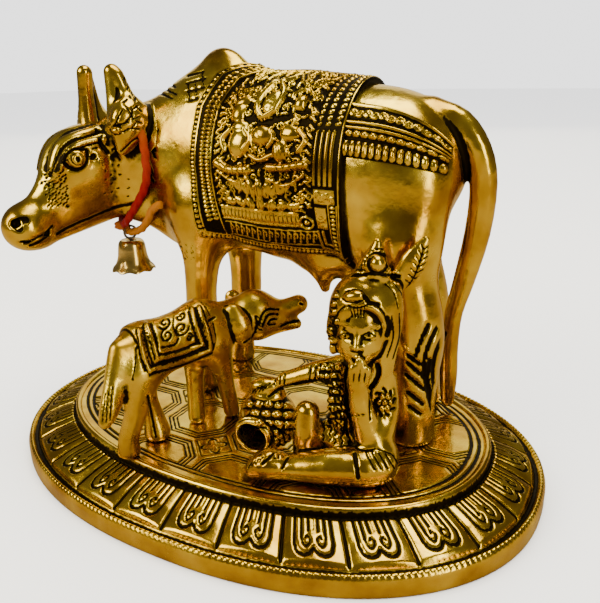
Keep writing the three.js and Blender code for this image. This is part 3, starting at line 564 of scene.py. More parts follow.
def child_arm_marks(r):
    for u, v in strewn(40, -6, 25.5, 4.8, 14):
        u = u - 0.12 * (v - 25.5)
        r.dome(u, v, 0.85, 0.8, 0.75)
        r.groove([(u + 0.9, v + 0.5), (u + 1.1, v - 0.5)], 0.45, 0.35)
        r.groove([(u - 0.6, v - 1), (u + 0.6, v - 1.1)], 0.45, 0.35)
    r.cut([(-1.5, 38.8), (-1.3, 33), (-1.2, 27), (-2, 22)], 0.8, 0.45)
    r.cut([(-4.5, 35.2), (-10, 35.6), (-16, 34), (-19, 32)], 1.0, 0.4, 0.8)
    for u in (-9.4, -8.2, -7):
        r.groove([(u, 39.6), (u - 0.4, 35.4)], 0.45, 0.3)
    for u in (-15.2, -16.3, -17.4):
        r.groove([(u, 39), (u - 0.2, 35)], 0.4, 0.3)
    for n in range(4):
        r.groove([(-18.6 - 0.9 * n, 35.4 - 0.3 * n), (-20.4 - 0.9 * n, 33.4 - 0.2 * n)], 0.4, 0.3)
    r.cut([(-1.0, 27.2), (0.8, 26.7), (3, 27.2)], 0.35, 0.2, 0.7)
    r.cut([(5.4, 39.4), (5.8, 37.6), (5.2, 35.4), (4.2, 33.8)], 1.4, 0.6)
    r.cut([(4.4, 34), (4.0, 30), (4.2, 25.6)], 0.6, 0.3, 0.7)
    r.cut([(-1.2, 27), (-1, 22), (1, 18.2), (5, 17.2)], 0.7, 0.35)
    for n in range(6):
        angle = n * math.pi / 3
        r.dome(7.4 + 1.3 * math.cos(angle), 30 + 1.7 * math.sin(angle), 0.65, 0.75, 0.6)
    r.dome(7.4, 30, 0.7, 0.8, 0.75)
    for n in range(9):
        angle = n * 0.7
        r.groove([(7.3 + 1.9 * math.cos(angle), 30 + 2.8 * math.sin(angle)),
                  (7.3 + 2.5 * math.cos(angle + 0.3), 30 + 3.6 * math.sin(angle + 0.3))], 0.9, 0.35)


def child_lap_marks(r):
    r.cut([(-0.5, 19.6), (0.6, 17), (1.2, 13.6), (1.6, 10)], 1.3, 0.5)
    for n in range(5):
        u = 3.2 + 1.6 * n
        r.groove([(u, 17.2 - 0.2 * n), (u + 2.4, 12.2)], 0.5, 0.35)
    r.cut([(2.4, 17.4), (6, 17.8), (9.6, 16.4)], 0.5, 0.3)
    r.cut([(-16.4, 19.6), (-18.6, 16.8), (-21, 14.4)], 1.0, 0.45)
    r.cut([(-13.4, 18.4), (-15.2, 15.4), (-16.4, 12.8)], 0.9, 0.4)
    for n in range(4):
        r.groove([(-23.6 + 0.9 * n, 14.8 + 0.5 * n), (-24.6 + 0.9 * n, 13.2 + 0.5 * n)], 0.35, 0.3)
    for row, v in enumerate((30.4, 27.9, 25.6)):
        r.beads([(-24.6 + 1.1 * row, v), (-13.6, v - 0.8)], 2.4, 1.1, 1.0, 0.9)
        r.groove([(-24.8, v - 1.3), (-13.4, v - 2.1)], 0.7, 0.4)
    r.groove(arc(-23.5, 21.6, 5, 5, range(32), 5), 0.7, 0.4)
    for u, v in strewn(18, -18, 16.5, 4.2, 7.5):
        r.dome(u, v, 0.8, 0.7, 0.7)
        r.groove([(u + 0.8, v + 0.5), (u + 0.9, v - 0.6)], 0.5, 0.35)
    for u, v in strewn(16, -7, 20, 5.4, 8):
        r.cut([(u, v), (u + 0.5, v - 0.9), (u + 0.2, v - 1.8)], 0.5, 0.35)


def child_face():
    """A plain, calm child's face: eyes halfway down the head, nose and mouth below them."""
    middle = (2, -3.2)
    c, s = cos_sin(11.5)
    skull = meld(2, egg((0, -3.2, 47.3), (6.2, 6.6, 8.6)), egg((0, 1.7, 39.9), (1.9, 1.7, 1.4)),
                 egg((0, -0.6, 43.6), (4.9, 4.2, 4)))
    socket = egg((2.7, 4.7, 46.9), (2.2, 1.6, 1.2))
    nose = meld(0.5, limb((0, 2.7, 47.8, 0.4), (0, 3.6, 45.6, 0.6), (0, 4.0, 44.6, 0.85)),
                egg((0.8, 3.6, 44.4), (0.6, 0.7, 0.5)))
    eye = egg((2.6, 2.0, 46.8), (1.5, 1.05, 0.75))
    brow = limb((1.2, 2.9, 48.8, 0.25), (2.7, 2.5, 49.4, 0.3), (4.4, 1.2, 48.6, 0.25))
    lips = meld(0.3, limb((0, 3.6, 43, 0.4), (1.4, 3.1, 42.8, 0.25)), egg((0, 3.5, 42.3), (0.9, 0.5, 0.4)))
    face = meld(0.6, carve(1.2, skull, socket), nose, eye, brow, lips)

    def turned(x, y, z):
        dx = x - middle[0]
        dy = y - middle[1]
        across = dx * c + dy * s
        front = dy * c - dx * s
        return face(np.abs(across), front + middle[1], z)
    return turned


def child_field():
    trunk = meld(3, egg((1, -5, 17), (8.5, 6.5, 5.6)), bone((1, -6.5, 19, 6), (2.4, -6, 32, 6.2)),
                 bone((-2.6, -6, 34, 3), (7.4, -5, 33.4, 3.2)), bone((3, -5, 35, 3.4), (3, -4.5, 41, 3.4)))
    head = meld(1.2, child_face(), egg((-4.4, -3.4, 46.5), (1.3, 2.2, 3.2)),
                limb((8.6, -3.2, 55, 2.6), (9.1, -2.6, 50, 2.6), (8.3, -2.6, 44.5, 2.8),
                     (7.4, -2.6, 39, 2.9), (7, -3, 34, 2.8)),
                egg((-4.2, -1.2, 42.4), (1.0, 0.9, 1.6)))
    hair = carve(0.8, egg((2.9, -4.2, 50.6), (8, 7.6, 8.8)), egg((1.8, 5.4, 44.6), (6, 8, 9.0)))
    crown = meld(1.5, bone((4.6, -4.2, 59, 4), (5.6, -4.2, 66, 0.9)), egg((4.8, -0.6, 62), (2.2, 1.6, 2.2)))
    plume = squeeze(limb((10, -5.4, 55, 1.8), (13.6, -5.6, 60.5, 3), (16.4, -5.8, 66, 0.9)), -5.6, 0.45)
    right_arm = meld(1.5, limb((-2.8, -6, 35, 3.2), (-7.6, -7, 33.8, 2.6), (-15.5, -8.6, 31, 1.9)),
                     egg((-20, -9.6, 29.2), (4, 2.6, 2)))
    left_arm = meld(1.5, limb((7.4, -4.6, 33, 3.4), (7.6, -1.2, 27, 3.6), (5.6, 2.4, 20, 3.9)),
                    limb((4.6, 2.8, 20, 3.7), (1.8, 2.9, 30, 2.6), (1.0, 3.1, 35, 2.2)),
                    egg((1.0, 3.2, 37), (2.3, 1.7, 2.8)))
    fingers = [limb((u, 4.2, 36.6, 0.75), (u + 0.15, 4.7, 39.4, 0.72), (u + lean, 4.6, tip, 0.55))
               for u, lean, tip in ((-0.7, 0.5, 40.6), (0.5, 0.4, 41.8), (1.7, 0, 41.6), (2.9, -0.3, 40.2))]
    left_arm = meld(0.5, left_arm, *fingers)
    right_leg = meld(1.5, limb((-2.5, -5, 16.5, 5), (-9, -4, 19.5, 3.4)),
                     limb((-10.2, -3, 25.2, 2.9), (-10.6, -2.4, 20, 3.3), (-10.4, -2.2, 14, 3.4)))
    left_leg = limb((4, -4, 17, 5.5), (5.4, 5, 15.8, 5), (-6, 5.2, 15.4, 4.1), (-15, 3.9, 14.6, 3),
                    (-19.4, 3.7, 15.4, 3.7), (-22.6, 3.7, 14.2, 2.4))
    garland = limb((-3, -1.2, 37, 1.6), (-3.4, -0.2, 30, 2), (-2, -0.6, 23, 2))
    figure = meld(1.2, meld(1.6, trunk, right_arm, left_arm, right_leg, left_leg), head, hair, crown, plume,
                  garland)
    pot = carve(0.5, meld(1, egg((-20, -11, 19.2), (7.4, 7.4, 7.4)),
                          bone((-21.5, -8.5, 18.8, 4.6), (-23.2, -4.8, 18.3, 4.2)),
                          ring((-23.4, -4.4, 18.2), (-0.4, 0.92, -0.1), 4.3, 0.8)),
                bone((-24.4, -2.2, 17.9, 3.9), (-21.4, -8.8, 18.8, 3.6)))
    butter = egg((-19.6, -10, 26.6), (4.4, 3.6, 2.4))
    return standing(placed(CHILD_FRAME, meld(1, figure, pot, butter)))


# Relief drawn on a flat sheet, then wrapped onto a surface

STREW_U = 0.7549                  # steps of a spread that never lines up
STREW_V = 0.5698
PANEL_EDGE = 0.3                  # width of a panel's sloped edge


class Relief:
    """Height in millimetres over a sheet of u and v; a second sheet marks painted shade at the bottoms of
    engraved lines.
    """

    def __init__(self, u0, u1, v0, v1, step=0.1):
        self.low = (u0, v0)
        self.step = step
        self.size = (int((u1 - u0) / step) + 2, int((v1 - v0) / step) + 2)
        self.height = np.zeros(self.size)
        self.recess_shade = np.zeros(self.size)

    def window(self, points, margin):
        """Slice of the sheet around some points, and its u and v."""
        points = np.asarray(points, float)
        cuts = []
        axes = []
        for i in range(2):
            a = int((points[:, i].min() - margin - self.low[i]) / self.step)
            b = int((points[:, i].max() + margin - self.low[i]) / self.step) + 2
            a, b = max(a, 0), min(b, self.size[i])
            cuts.append(slice(a, max(b, a)))
            axes.append(self.low[i] + np.arange(a, max(b, a)) * self.step)
        u, v = np.meshgrid(*axes, indexing="ij")
        return tuple(cuts), u, v

    def away(self, points, margin):
        """Distance to a line through points, near it."""
        cut, u, v = self.window(points, margin)
        best = np.full(u.shape, 1e6)
        for (ua, va), (ub, vb) in zip(points, points[1:]):
            du, dv = ub - ua, vb - va
            share = np.clip(((u - ua) * du + (v - va) * dv) / max(du * du + dv * dv, 1e-9), 0, 1)
            best = np.minimum(best, np.hypot(u - ua - share * du, v - va - share * dv))
        return cut, best

    def ridge(self, points, width, height):
        """Raised line with a round back."""
        cut, d = self.away(points, width)
        lift = height * np.sqrt(np.clip(1 - (d / (width / 2)) ** 2, 0, 1))
        self.height[cut] = np.maximum(self.height[cut], lift)

    def groove(self, points, width, depth, recess_shade=1.0):
        """Cut line, with painted shade at its bottom."""
        cut, d = self.away(points, width)
        share = np.clip(1 - (d / (width / 2)) ** 2, 0, 1)
        self.height[cut] -= depth * share
        self.recess_shade[cut] = np.maximum(self.recess_shade[cut], recess_shade * np.clip(share * 2, 0, 1))

    def fold(self, points, width, height):
        """Ridge on a smooth curve."""
        self.ridge(bend(points), width, height)

    def cut(self, points, width, depth, recess_shade=1.0):
        """Groove on a smooth curve."""
        self.groove(bend(points), width, depth, recess_shade)

    def dashes(self, places, du, dv, width, depth, recess_shade):
        """Short grooves, all in one direction."""
        for u, v in places:
            self.groove([(u, v), (u + du, v + dv)], width, depth, recess_shade)

    def rays(self, u, v, near, far, angles):
        """Short ridges that point away from u, v."""
        for angle in angles:
            c, s = cos_sin(angle)
            self.ridge([(u + near * c, v + near * s), (u + far * c, v + far * s)], 0.6, 0.9)

    def dome(self, u, v, ru, rv, height, turn=0):
        """Rounded oval bump."""
        reach = max(ru, rv)
        cut, uu, vv = self.window([(u, v)], reach)
        c, s = cos_sin(turn)
        du, dv = uu - u, vv - v
        room = 1 - ((du * c + dv * s) / ru) ** 2 - ((dv * c - du * s) / rv) ** 2
        lift = height * np.clip(room, 0, 1) ** 0.5
        self.height[cut] = np.maximum(self.height[cut], lift)

    def panel(self, u0, u1, v0, v1, height):
        """Raised rectangle with a sloped edge."""
        cut, u, v = self.window([(u0, v0), (u1, v1)], 0)
        inner = np.minimum(np.minimum(u - u0, u1 - u), np.minimum(v - v0, v1 - v))
        self.height[cut] = np.maximum(self.height[cut], height * np.clip(inner / PANEL_EDGE, 0, 1))

    def beads(self, points, spacing, ru, rv, height, turn=0):
        """Row of domes along a line."""
        for u, v in along(points, spacing):
            self.dome(u, v, ru, rv, height, turn)

    def curl(self, u, v, radius, start, turns, width, height):
        """Raised spiral."""
        self.ridge(spiral(u, v, radius, start, turns), width, height)

    def painted_shade_and_dye(self, ground, radius=0.9, gain=2.6):
        """Painted shade in engraved lines, on what lies below the ground level, and in what lies below its
        surroundings.
        """
        low = np.clip((blur(self.height, radius / self.step) - self.height) * gain, 0, 1)
        flat = np.clip((ground - self.height) / 0.2 + 0.5, 0, 1)
        return np.maximum(np.maximum(low, flat), self.recess_shade)

    def at(self, sheet, u, v):
        """Sheet values between its points."""
        x = np.clip((u - self.low[0]) / self.step, 0, self.size[0] - 1.001)
        y = np.clip((v - self.low[1]) / self.step, 0, self.size[1] - 1.001)
        i, j = x.astype(int), y.astype(int)
        fx, fy = x - i, y - j
        low = sheet[i, j] * (1 - fx) + sheet[i + 1, j] * fx
        high = sheet[i, j + 1] * (1 - fx) + sheet[i + 1, j + 1] * fx
        return low * (1 - fy) + high * fy


def arc(u, v, ru, rv, steps, fineness=4):
    """Points on an oval around u, v; step n lies n / fineness radians round."""
    return [(u + ru * math.cos(n / fineness), v + rv * math.sin(n / fineness)) for n in steps]


def strewn(count, u, v, width, height):
    """Places spread evenly over a rectangle with its lower corner at u, v."""
    return [(u + (n * STREW_U % 1) * width, v + (n * STREW_V % 1) * height) for n in range(count)]


def spiral(u, v, radius, start, turns):
    """Spiral that winds in from a start angle in degrees."""
    steps = int(abs(turns) * 16) + 2
    path = []
    for n in range(steps):
        share = n / (steps - 1)
        angle = math.radians(start) + 2 * math.pi * turns * share
        r = radius * (1 - 0.8 * share)
        path.append((u + r * math.cos(angle), v + r * math.sin(angle)))
    return path


def along(points, spacing):
    """Evenly spaced places on a line through points."""
    points = np.asarray(points, float)
    run = np.concatenate([[0], np.cumsum(np.hypot(*np.diff(points, axis=0).T))])
    count = max(int(round(run[-1] / spacing)), 1)
    at = (np.arange(count) + 0.5) * run[-1] / count
    return list(zip(np.interp(at, run, points[:, 0]), np.interp(at, run, points[:, 1])))


def blur(sheet, radius):
    """Three box blurs in a row: close to a bell-shaped blur."""
    half = max(int(radius), 1)
    for axis in (0, 1):
        for _ in range(2):
            pad = [(0, 0), (0, 0)]
            pad[axis] = (half + 1, half)
            total = np.cumsum(np.pad(sheet, pad, mode="edge"), axis)
            size = sheet.shape[axis]
            high = np.take(total, np.arange(2 * half + 1, 2 * half + 1 + size), axis)
            sheet = (high - np.take(total, np.arange(size), axis)) / (2 * half + 1)
    return sheet


def bend(points, steps=8):
    """Smooth curve through points."""
    p = np.asarray(points, float)
    p = np.vstack([2 * p[0] - p[1], p, 2 * p[-1] - p[-2]])
    path = []
    for i in range(1, len(p) - 2):
        for n in range(steps):
            t = n / steps
            path.append(tuple(0.5 * (2 * p[i] + (p[i + 1] - p[i - 1]) * t
                                     + (2 * p[i - 1] - 5 * p[i] + 4 * p[i + 1] - p[i + 2]) * t * t
                                     + (3 * p[i] - p[i - 1] - 3 * p[i + 1] + p[i + 2]) * t ** 3)))
    path.append(tuple(p[-2]))
    return path


def engraved(points, faces, frame_of, relief, side=0, plane=None):
    """Mesh points with a flat relief pressed onto them across a figure's frame, and the relief's painted
    shade there.

    side 1 or -1 keeps to one side of the figure, 0 repeats the relief on both. With a plane, the
    relief is drawn that far across the frame and carried to the figure along the camera's view."""
    c, s = cos_sin(frame_of[2])
    normal = normals_of(points, faces)
    along_axis, across = local(frame_of, points[:, 0], points[:, 1])
    facing = (normal[:, 0] * s - normal[:, 1] * c) * (side or np.sign(across))
    show = np.clip((facing - 0.08) / 0.3, 0, 1)
    u, v = along_axis, points[:, 2]
    if plane is not None:
        eye = np.array(CAMERA_TARGET) + camera_back() * CAMERA_DISTANCE
        eye_along, eye_across = local(frame_of, eye[0], eye[1])
        share = (plane - eye_across) / (across - eye_across)
        u = eye_along + (u - eye_along) * share
        v = eye[2] + (v - eye[2]) * share
    lift = relief.at(relief.height, u, v) * show
    return points + normal * lift[:, None], relief.at(relief.recess_shade, u, v) * show


# Saddle cloth relief: u runs along the cow, v around her back from her side to her spine

SADDLE_FRONT = -20
SADDLE_REAR = 24
SPINE = 33


def saddle_borders(r):
    r.panel(SADDLE_FRONT, -12.9, -22, SPINE, 0.3)
    r.panel(16.2, SADDLE_REAR, -22, SPINE, 0.3)
    r.panel(SADDLE_FRONT, SADDLE_REAR, -22, -12.3, 0.3)
    for u in (-19.7, -17.9, -12.9):
        r.ridge([(u, -21), (u, SPINE)], 0.5, 0.55)
    r.beads([(-18.8, -15), (-18.8, SPINE)], 1.25, 0.72, 0.5, 0.6)
    for u in (-15.9, -14.1):
        r.beads([(u, -12.5), (u, SPINE)], 1.15, 0.85, 0.5, 0.75)
    r.groove([(-12.3, -12.2), (-12.3, 30)], 0.9, 0.35)
    rope = [(-20, -14.6), (-14, -18.0), (-8, -19.5), (5, -18.9), (15, -20.2), (24, -20.4)]
    r.beads(rope, 1.15, 0.5, 0.75, 0.75, -25)
    for lift in (-0.95, 0.95):
        r.ridge([(u, v + lift) for u, v in rope], 0.4, 0.55)
    r.groove([(-18, -13.6), (-12.6, -16.6), (-8, -18), (5, -17.6), (15, -18.8)], 0.35, 0.25, 0.8)


def saddle_key_row(r):
    for v in (-13.0, -17.3):
        r.ridge([(-11.5, v), (16, v - 0.3)], 0.45, 0.65)
    for n in range(15):
        u = -10.6 + 1.78 * n
        r.ridge([(u, -16.9), (u + 0.9, -13.6)], 0.5, 0.8)
        r.ridge([(u + 0.9, -13.9), (u + 1.5, -14.6), (u + 1.1, -15.6)], 0.42, 0.7)


def saddle_rear_column(r):
    for u in (17.1, 18.5, 19.9, 21.3):
        r.ridge([(u, 0.6), (u, 13.8)], 0.75, 0.8)
    r.panel(16.6, 22.6, -4.9, -0.4, 0.4)
    for n in range(4):
        r.curl(17.6 + 1.3 * n, -2.6 + 0.5 * (-1) ** n, 0.9, 90 * n, 1.1, 0.42, 0.85)
    r.panel(16.6, 20.0, -12.4, -5.5, 0.5)
    r.curl(18.2, -8.6, 1.3, 200, 1.3, 0.5, 0.95)
    r.curl(18.6, -11.2, 0.9, 20, -1.2, 0.45, 0.9)
    for inset in (0, 1.5):
        r.ridge([(16.4 + inset, -12.8), (16.4 + inset, -18.6 + inset), (20.2, -18.8 + inset)], 0.5, 0.85)
    r.beads([(21.6, -19.6), (21.6, -4.9)], 1.2, 0.85, 0.46, 0.8)
    for u in (20.4, 22.9):
        r.ridge([(u, -19.6), (u, -4.9)], 0.4, 0.6)
    for u, size in ((17.2, 0.6), (19.4, 0.8), (22.0, 0.85)):
        r.beads([(u, 14.8), (u, SPINE)], 1.5, size, 0.55, 0.8)
    r.ridge([(23.4, -20), (23.4, SPINE)], 0.5, 0.6)


def saddle_lotus(r):
    for k in (3, -3, 2, -2, 1, -1, 0):
        r.dome(1.6 + 2.35 * k, -1.9 + 0.25 * abs(k), 1.25, 3.0, 1.15 - 0.15 * abs(k), -16 * k)
        r.groove([(1.6 + 2.35 * k, -3.6), (1.6 + 2.6 * k, 0.2)], 0.3, 0.25, 0.6)
    for k in (3, -3, 2, -2, 1, -1, 0):
        r.dome(1.6 + 3.1 * k, -6.2, 1.3, 2.0, 1.0, -24 * k)
        r.groove([(1.6 + 2.9 * k, -7.4), (1.6 + 3.2 * k, -5.2)], 0.3, 0.22, 0.6)
    for side in (-1, 1):
        leaf = [(1.6 + side * 3, 1.2), (1.6 + side * 7.5, -0.3), (1.6 + side * 12.4, 2.6)]
        r.fold(leaf, 1.1, 0.9)
    r.panel(-11.8, 12.2, -12.0, -8.0, 0.45)
    for n in range(20):
        r.dome(-11.1 + 1.2 * n, -10.0, 0.56, 1.95, 1.05)
    for v in (-8.1, -11.9):
        r.ridge([(-11.8, v), (12.2, v)], 0.5, 0.8)
    r.ridge(arc(13.9, -10.6, 1.8, 1.8, range(20), 3), 0.6, 0.9)
    r.dome(13.9, -10.6, 0.8, 0.8, 1.0)


def saddle_left_figure(r):
    r.dome(-4.6, 10.6, 3.3, 4.2, 1.7)
    r.dome(-4.9, 14.6, 2.6, 1.9, 1.5)
    r.dome(-6.1, 18.2, 2.1, 2.7, 1.6)
    r.dome(-6.3, 21.0, 2.4, 1.6, 1.3, 20)
    r.fold([(-2.6, 14), (-0.8, 11.4), (-2.6, 8.4)], 1.4, 1.5)
    r.fold([(-7.4, 14.2), (-9.6, 11.6), (-8.6, 8.6)], 1.4, 1.35)
    r.fold([(-10.6, 4.8), (-7, 3.2), (-1.6, 3.4)], 3.0, 1.6)
    for n in range(5):
        u = -9.4 + 1.7 * n
        r.groove([(u, 5.0), (u + 0.9, 2.0)], 0.32, 0.3, 0.7)
    r.rays(-6.2, 18.6, 3.6, 5.6, range(50, 221, 17))
    r.ridge(arc(-6.2, 18.6, 6.2, 6.2, range(5, 22), 6), 0.5, 0.8)


def saddle_middle_figure(r):
    r.dome(2.0, 12.5, 3.0, 2.6, 1.9)
    r.groove([(0.8, 13.6), (2.6, 11.0)], 0.3, 0.2, 0.5)
    r.dome(2.6, 20.6, 2.4, 3.2, 1.5)
    r.fold([(0.4, 25.4), (-0.7, 21.5), (-0.4, 18.6), (1.0, 16.9)], 1.7, 1.8)
    r.fold([(2.0, 25.8), (4.9, 22.6), (4.6, 18.8), (2.2, 16.9)], 1.3, 1.6)
    for v in (19, 20.2, 21.4):
        r.groove([(1.9, v), (3.8, v - 0.5)], 0.3, 0.25, 0.7)
    r.fold([(-1.4, 27.2), (1.6, 25.8), (4.8, 27.4)], 1.2, 1.3)
    r.fold([(-1.4, 14.6), (-0.8, 12.4), (0.4, 9.4)], 1.2, 1.4)
    r.fold([(4.4, 14.2), (5.4, 11.8), (4.2, 9.6)], 1.0, 1.3)
    r.fold([(-0.6, 7.4), (2.2, 6.2), (5.4, 7.6)], 1.5, 1.3)


def saddle_right_figure(r):
    r.dome(10.5, 20.7, 1.7, 2.0, 1.6)
    r.fold([(7.6, 22.6), (10.5, 24.2), (13.4, 22.4)], 0.8, 1.2)
    r.beads([(10.5, 17.9), (10.5, 15.3)], 0.9, 1.1, 0.4, 1.3)
    r.dome(9.4, 13.4, 2.8, 2.2, 1.3)
    r.dome(7.6, 8.8, 2.3, 3.0, 1.8)
    for n in range(3):
        r.groove([(6.6 + n * 0.8, 10.6), (7.6 + n * 0.9, 7.4)], 0.3, 0.3, 0.7)
    r.fold([(12, 14), (14.2, 11.6), (12.6, 8.8)], 1.3, 1.4)
    r.fold([(4.8, 4.4), (9, 4.6), (14.2, 5.6)], 2.6, 1.5)
    for n in range(4):
        u = 7 + 1.9 * n
        r.groove([(u, 6.0), (u + 0.7, 3.2)], 0.32, 0.3, 0.7)
    r.rays(10.5, 20.7, 2.7, 3.8, range(-20, 191, 35))


def saddle_foliage(r):
    for n in range(13):
        v = -6.5 + 2.0 * n
        r.ridge([(-11.6, v), (-10.2, v + 1.3)], 0.65, 0.85)
        r.ridge([(15.9, v + 0.6), (14.5, v + 1.9)], 0.65, 0.85)
    for n in range(6):
        r.ridge([(-10.8 + 0.3 * n, -1 - 1.2 * n), (-8.6 + 0.3 * n, -2.4 - 1.0 * n)], 0.6, 0.8)
        r.ridge([(14.4 - 0.2 * n, -1 - 1.2 * n), (12.4 - 0.2 * n, -2.4 - 1.0 * n)], 0.6, 0.8)
    for lift in (0, 1.3):
        r.fold([(5.6, 28.4 + lift), (8.4, 25.9 + lift), (12, 25.0 + lift), (16, 26.6 + lift)], 0.65, 1.0)
    for n, u in enumerate(range(-11, 17, 3)):
        r.curl(u, 30.6, 1.25, 90 + 60 * n, 1.2, 0.55, 0.95)
    r.ridge([(-12, 32.6), (16, 32.6)], 0.7, 0.8)
    r.fold([(-11.8, 16), (-9.8, 15.4), (-9.4, 17.8), (-11.4, 18.4)], 0.7, 0.9)
    for n in range(8):
        r.ridge([(-2.2 + 0.9 * n, 9.6 - 0.25 * n), (-1.8 + 0.9 * n, 8.6 - 0.25 * n)], 0.5, 0.7)


def saddle_filling(r):
    """Low leaves and scrolls that cover the ground between the figures."""
    for n, (u, v) in enumerate(strewn(230, -11.8, -7, 27.4, 38)):
        if n % 3:
            turn = 2.4 * n
            c, s = 0.8 * math.cos(turn), 0.8 * math.sin(turn)
            r.ridge(bend([(u - c, v - s), (u + 0.35 * s, v - 0.35 * c), (u + c, v + s)], 4), 0.62, 0.75)
        else:
            r.curl(u, v, 1.0, 137 * n, 1.1, 0.45, 0.8)


def saddle_relief():
    """Borders, and a panel crowded with rounded forms, leaves and scrolls."""
    r = Relief(-20.5, 24.5, -22.5, 33.5)
    saddle_borders(r)
    saddle_key_row(r)
    saddle_rear_column(r)
    saddle_filling(r)
    saddle_foliage(r)
    saddle_lotus(r)
    saddle_left_figure(r)
    saddle_middle_figure(r)
    saddle_right_figure(r)
    return r


# Rump band relief: u along the cow, v from the band's lower edge up

RUMP_START = 23.6
RUMP_END = 45.5
RUMP_WIDTH = 13


def rump_relief():
    """Band of scrolls and beads over a fringe."""
    r = Relief(RUMP_START - 0.5, RUMP_END + 0.5, -0.5, RUMP_WIDTH + 0.5)
    r.panel(RUMP_START, RUMP_END, 0, RUMP_WIDTH, 0.3)
    ends = (RUMP_START, RUMP_END)
    for v, width in ((12.8, 0.9), (8.3, 0.7), (7.1, 0.6)):
        r.ridge([(u, v) for u in ends], width, 0.75)
    for n, (u, v) in enumerate(along([(u, 10.5) for u in ends], 1.9)):
        r.curl(u, v, 0.95, 180 * (n % 2), 1.2, 0.5, 0.85)
    for v in (11.8, 9.2, 7.7, 6.6):
        r.groove([(u, v) for u in ends], 0.55, 0.3)
    r.beads([(u, 5.6) for u in ends], 2.0, 0.9, 0.8, 1.1)
    r.groove([(u, 4.5) for u in ends], 0.6, 0.3)
    for u, v in along([(u, 2.1) for u in ends], 1.6):
        r.dome(u, v, 0.62, 2.0, 1.05)
    return r


def wrap_radius(body, u, angle):
    """Distance from the cow's long axis at which the body's surface lies, along rays at an angle."""
    c, s = np.cos(angle), np.sin(angle)
    radius = np.full(u.shape, 30.0)
    for _ in range(14):
        radius = radius - 0.9 * body(u, COW_MIDDLE - c * radius, COW_AXIS + s * radius)
    return radius


def wrapped(u, angle, radius):
    """Points at an angle and a radius around the cow's long axis."""
    return np.stack([u, COW_MIDDLE - np.cos(angle) * radius, COW_AXIS + np.sin(angle) * radius], -1)


def grid_faces(rows, columns, closed=False):
    """Quads of a grid of points; closed joins the last column to the first."""
    number = np.arange(rows * columns).reshape(rows, columns)
    right = np.roll(number, -1, 1)
    if not closed:
        number, right = number[:, :-1], right[:, :-1]
    return np.stack([number[:-1], right[:-1], right[1:], number[1:]], -1).reshape(-1, 4)


def grid_normals(points):
    """Unit normals at the points of a grid."""
    du = np.gradient(points, axis=1)
    dv = np.gradient(points, axis=0)
    normal = np.cross(du, dv)
    return normal / np.maximum(np.linalg.norm(normal, axis=-1), 1e-9)[..., None]


def edge_points(rows, columns):
    """Numbers of a grid's outermost points, in order around it."""
    number = np.arange(rows * columns).reshape(rows, columns)
    return np.concatenate([number[0, :-1], number[:-1, -1], number[-1, :0:-1], number[:0:-1, 0]])


def capped(points, lower, middle):
    """A grid of points closed by a wall to its lower rim, and a fan from there to the middle."""
    rows, columns = points.shape[:2]
    rim = edge_points(rows, columns)
    start = rows * columns
    ids = start + np.arange(len(rim))
    wall = np.stack([rim, ids, np.roll(ids, -1), np.roll(rim, -1)], 1)
    fan = np.stack([ids, np.full(len(rim), start + len(rim)), np.roll(ids, -1)], 1)
    flat = np.concatenate([points.reshape(-1, 3), lower, [middle]])
    return flat, [grid_faces(rows, columns), wall, fan]


# Base relief

PETAL_START = 0.34                # where the first petal begins, as a share of a petal
PETAL_COLUMNS = 44
BEAD_COLUMNS = 4
PETAL_SPAN = 15.26                # width of a petal at the base's edge
RING_STEP = 0.38                  # distance between the ring's rows of points


def petal_relief():
    """One petal: u across it, v the inset from the base's edge."""
    r = Relief(0, PETAL_SPAN, 2.5, 14)

    def across(shares):
        return [(share * PETAL_SPAN, inset) for share, inset in shares]
    for flip in (0, 1):
        def side(shares):
            return across([(abs(flip - share), inset) for share, inset in shares])
        r.groove(side([(0, 3), (0, 13.4)]), 0.9, 0.5)
        r.cut(side([(0.2, 13.2), (0.2, 9), (0.2, 6.8), (0.235, 5.4), (0.32, 4.7), (0.42, 4.9), (0.5, 6.0)]),
              0.85, 0.45)
        r.cut(side([(0.31, 13.2), (0.31, 10), (0.315, 7.4), (0.36, 6.3), (0.42, 6.7), (0.44, 7.7),
                    (0.40, 8.4), (0.365, 7.8)]), 0.65, 0.35)
        r.groove(side([(0.42, 13.2), (0.42, 9.4)]), 0.6, 0.3)
    r.groove(across([(0.5, 13.2), (0.5, 9.8)]), 0.4, 0.15, 0.4)
    r.groove(across([(0, 13.0), (1, 13.0)]), 0.7, 0.3)
    return r


def oval_columns(count):
    """Angles of evenly spaced columns around the oval."""
    angle = np.linspace(0, 2 * math.pi, 7201)
    x, y = oval_point(angle, 0)
    run = np.concatenate([[0], np.cumsum(np.hypot(np.diff(x), np.diff(y)))])
    return np.interp(np.arange(count) / count * run[-1], run, angle)


def oval_point(angle, inset):
    """Point of the base's outline, moved in by an inset."""
    power = 2 / OVAL_POWER
    c, s = np.cos(angle), np.sin(angle)
    return ((BASE_LENGTH / 2 - inset) * np.sign(c) * np.abs(c) ** power,
            (BASE_WIDTH / 2 - inset) * np.sign(s) * np.abs(s) ** power)


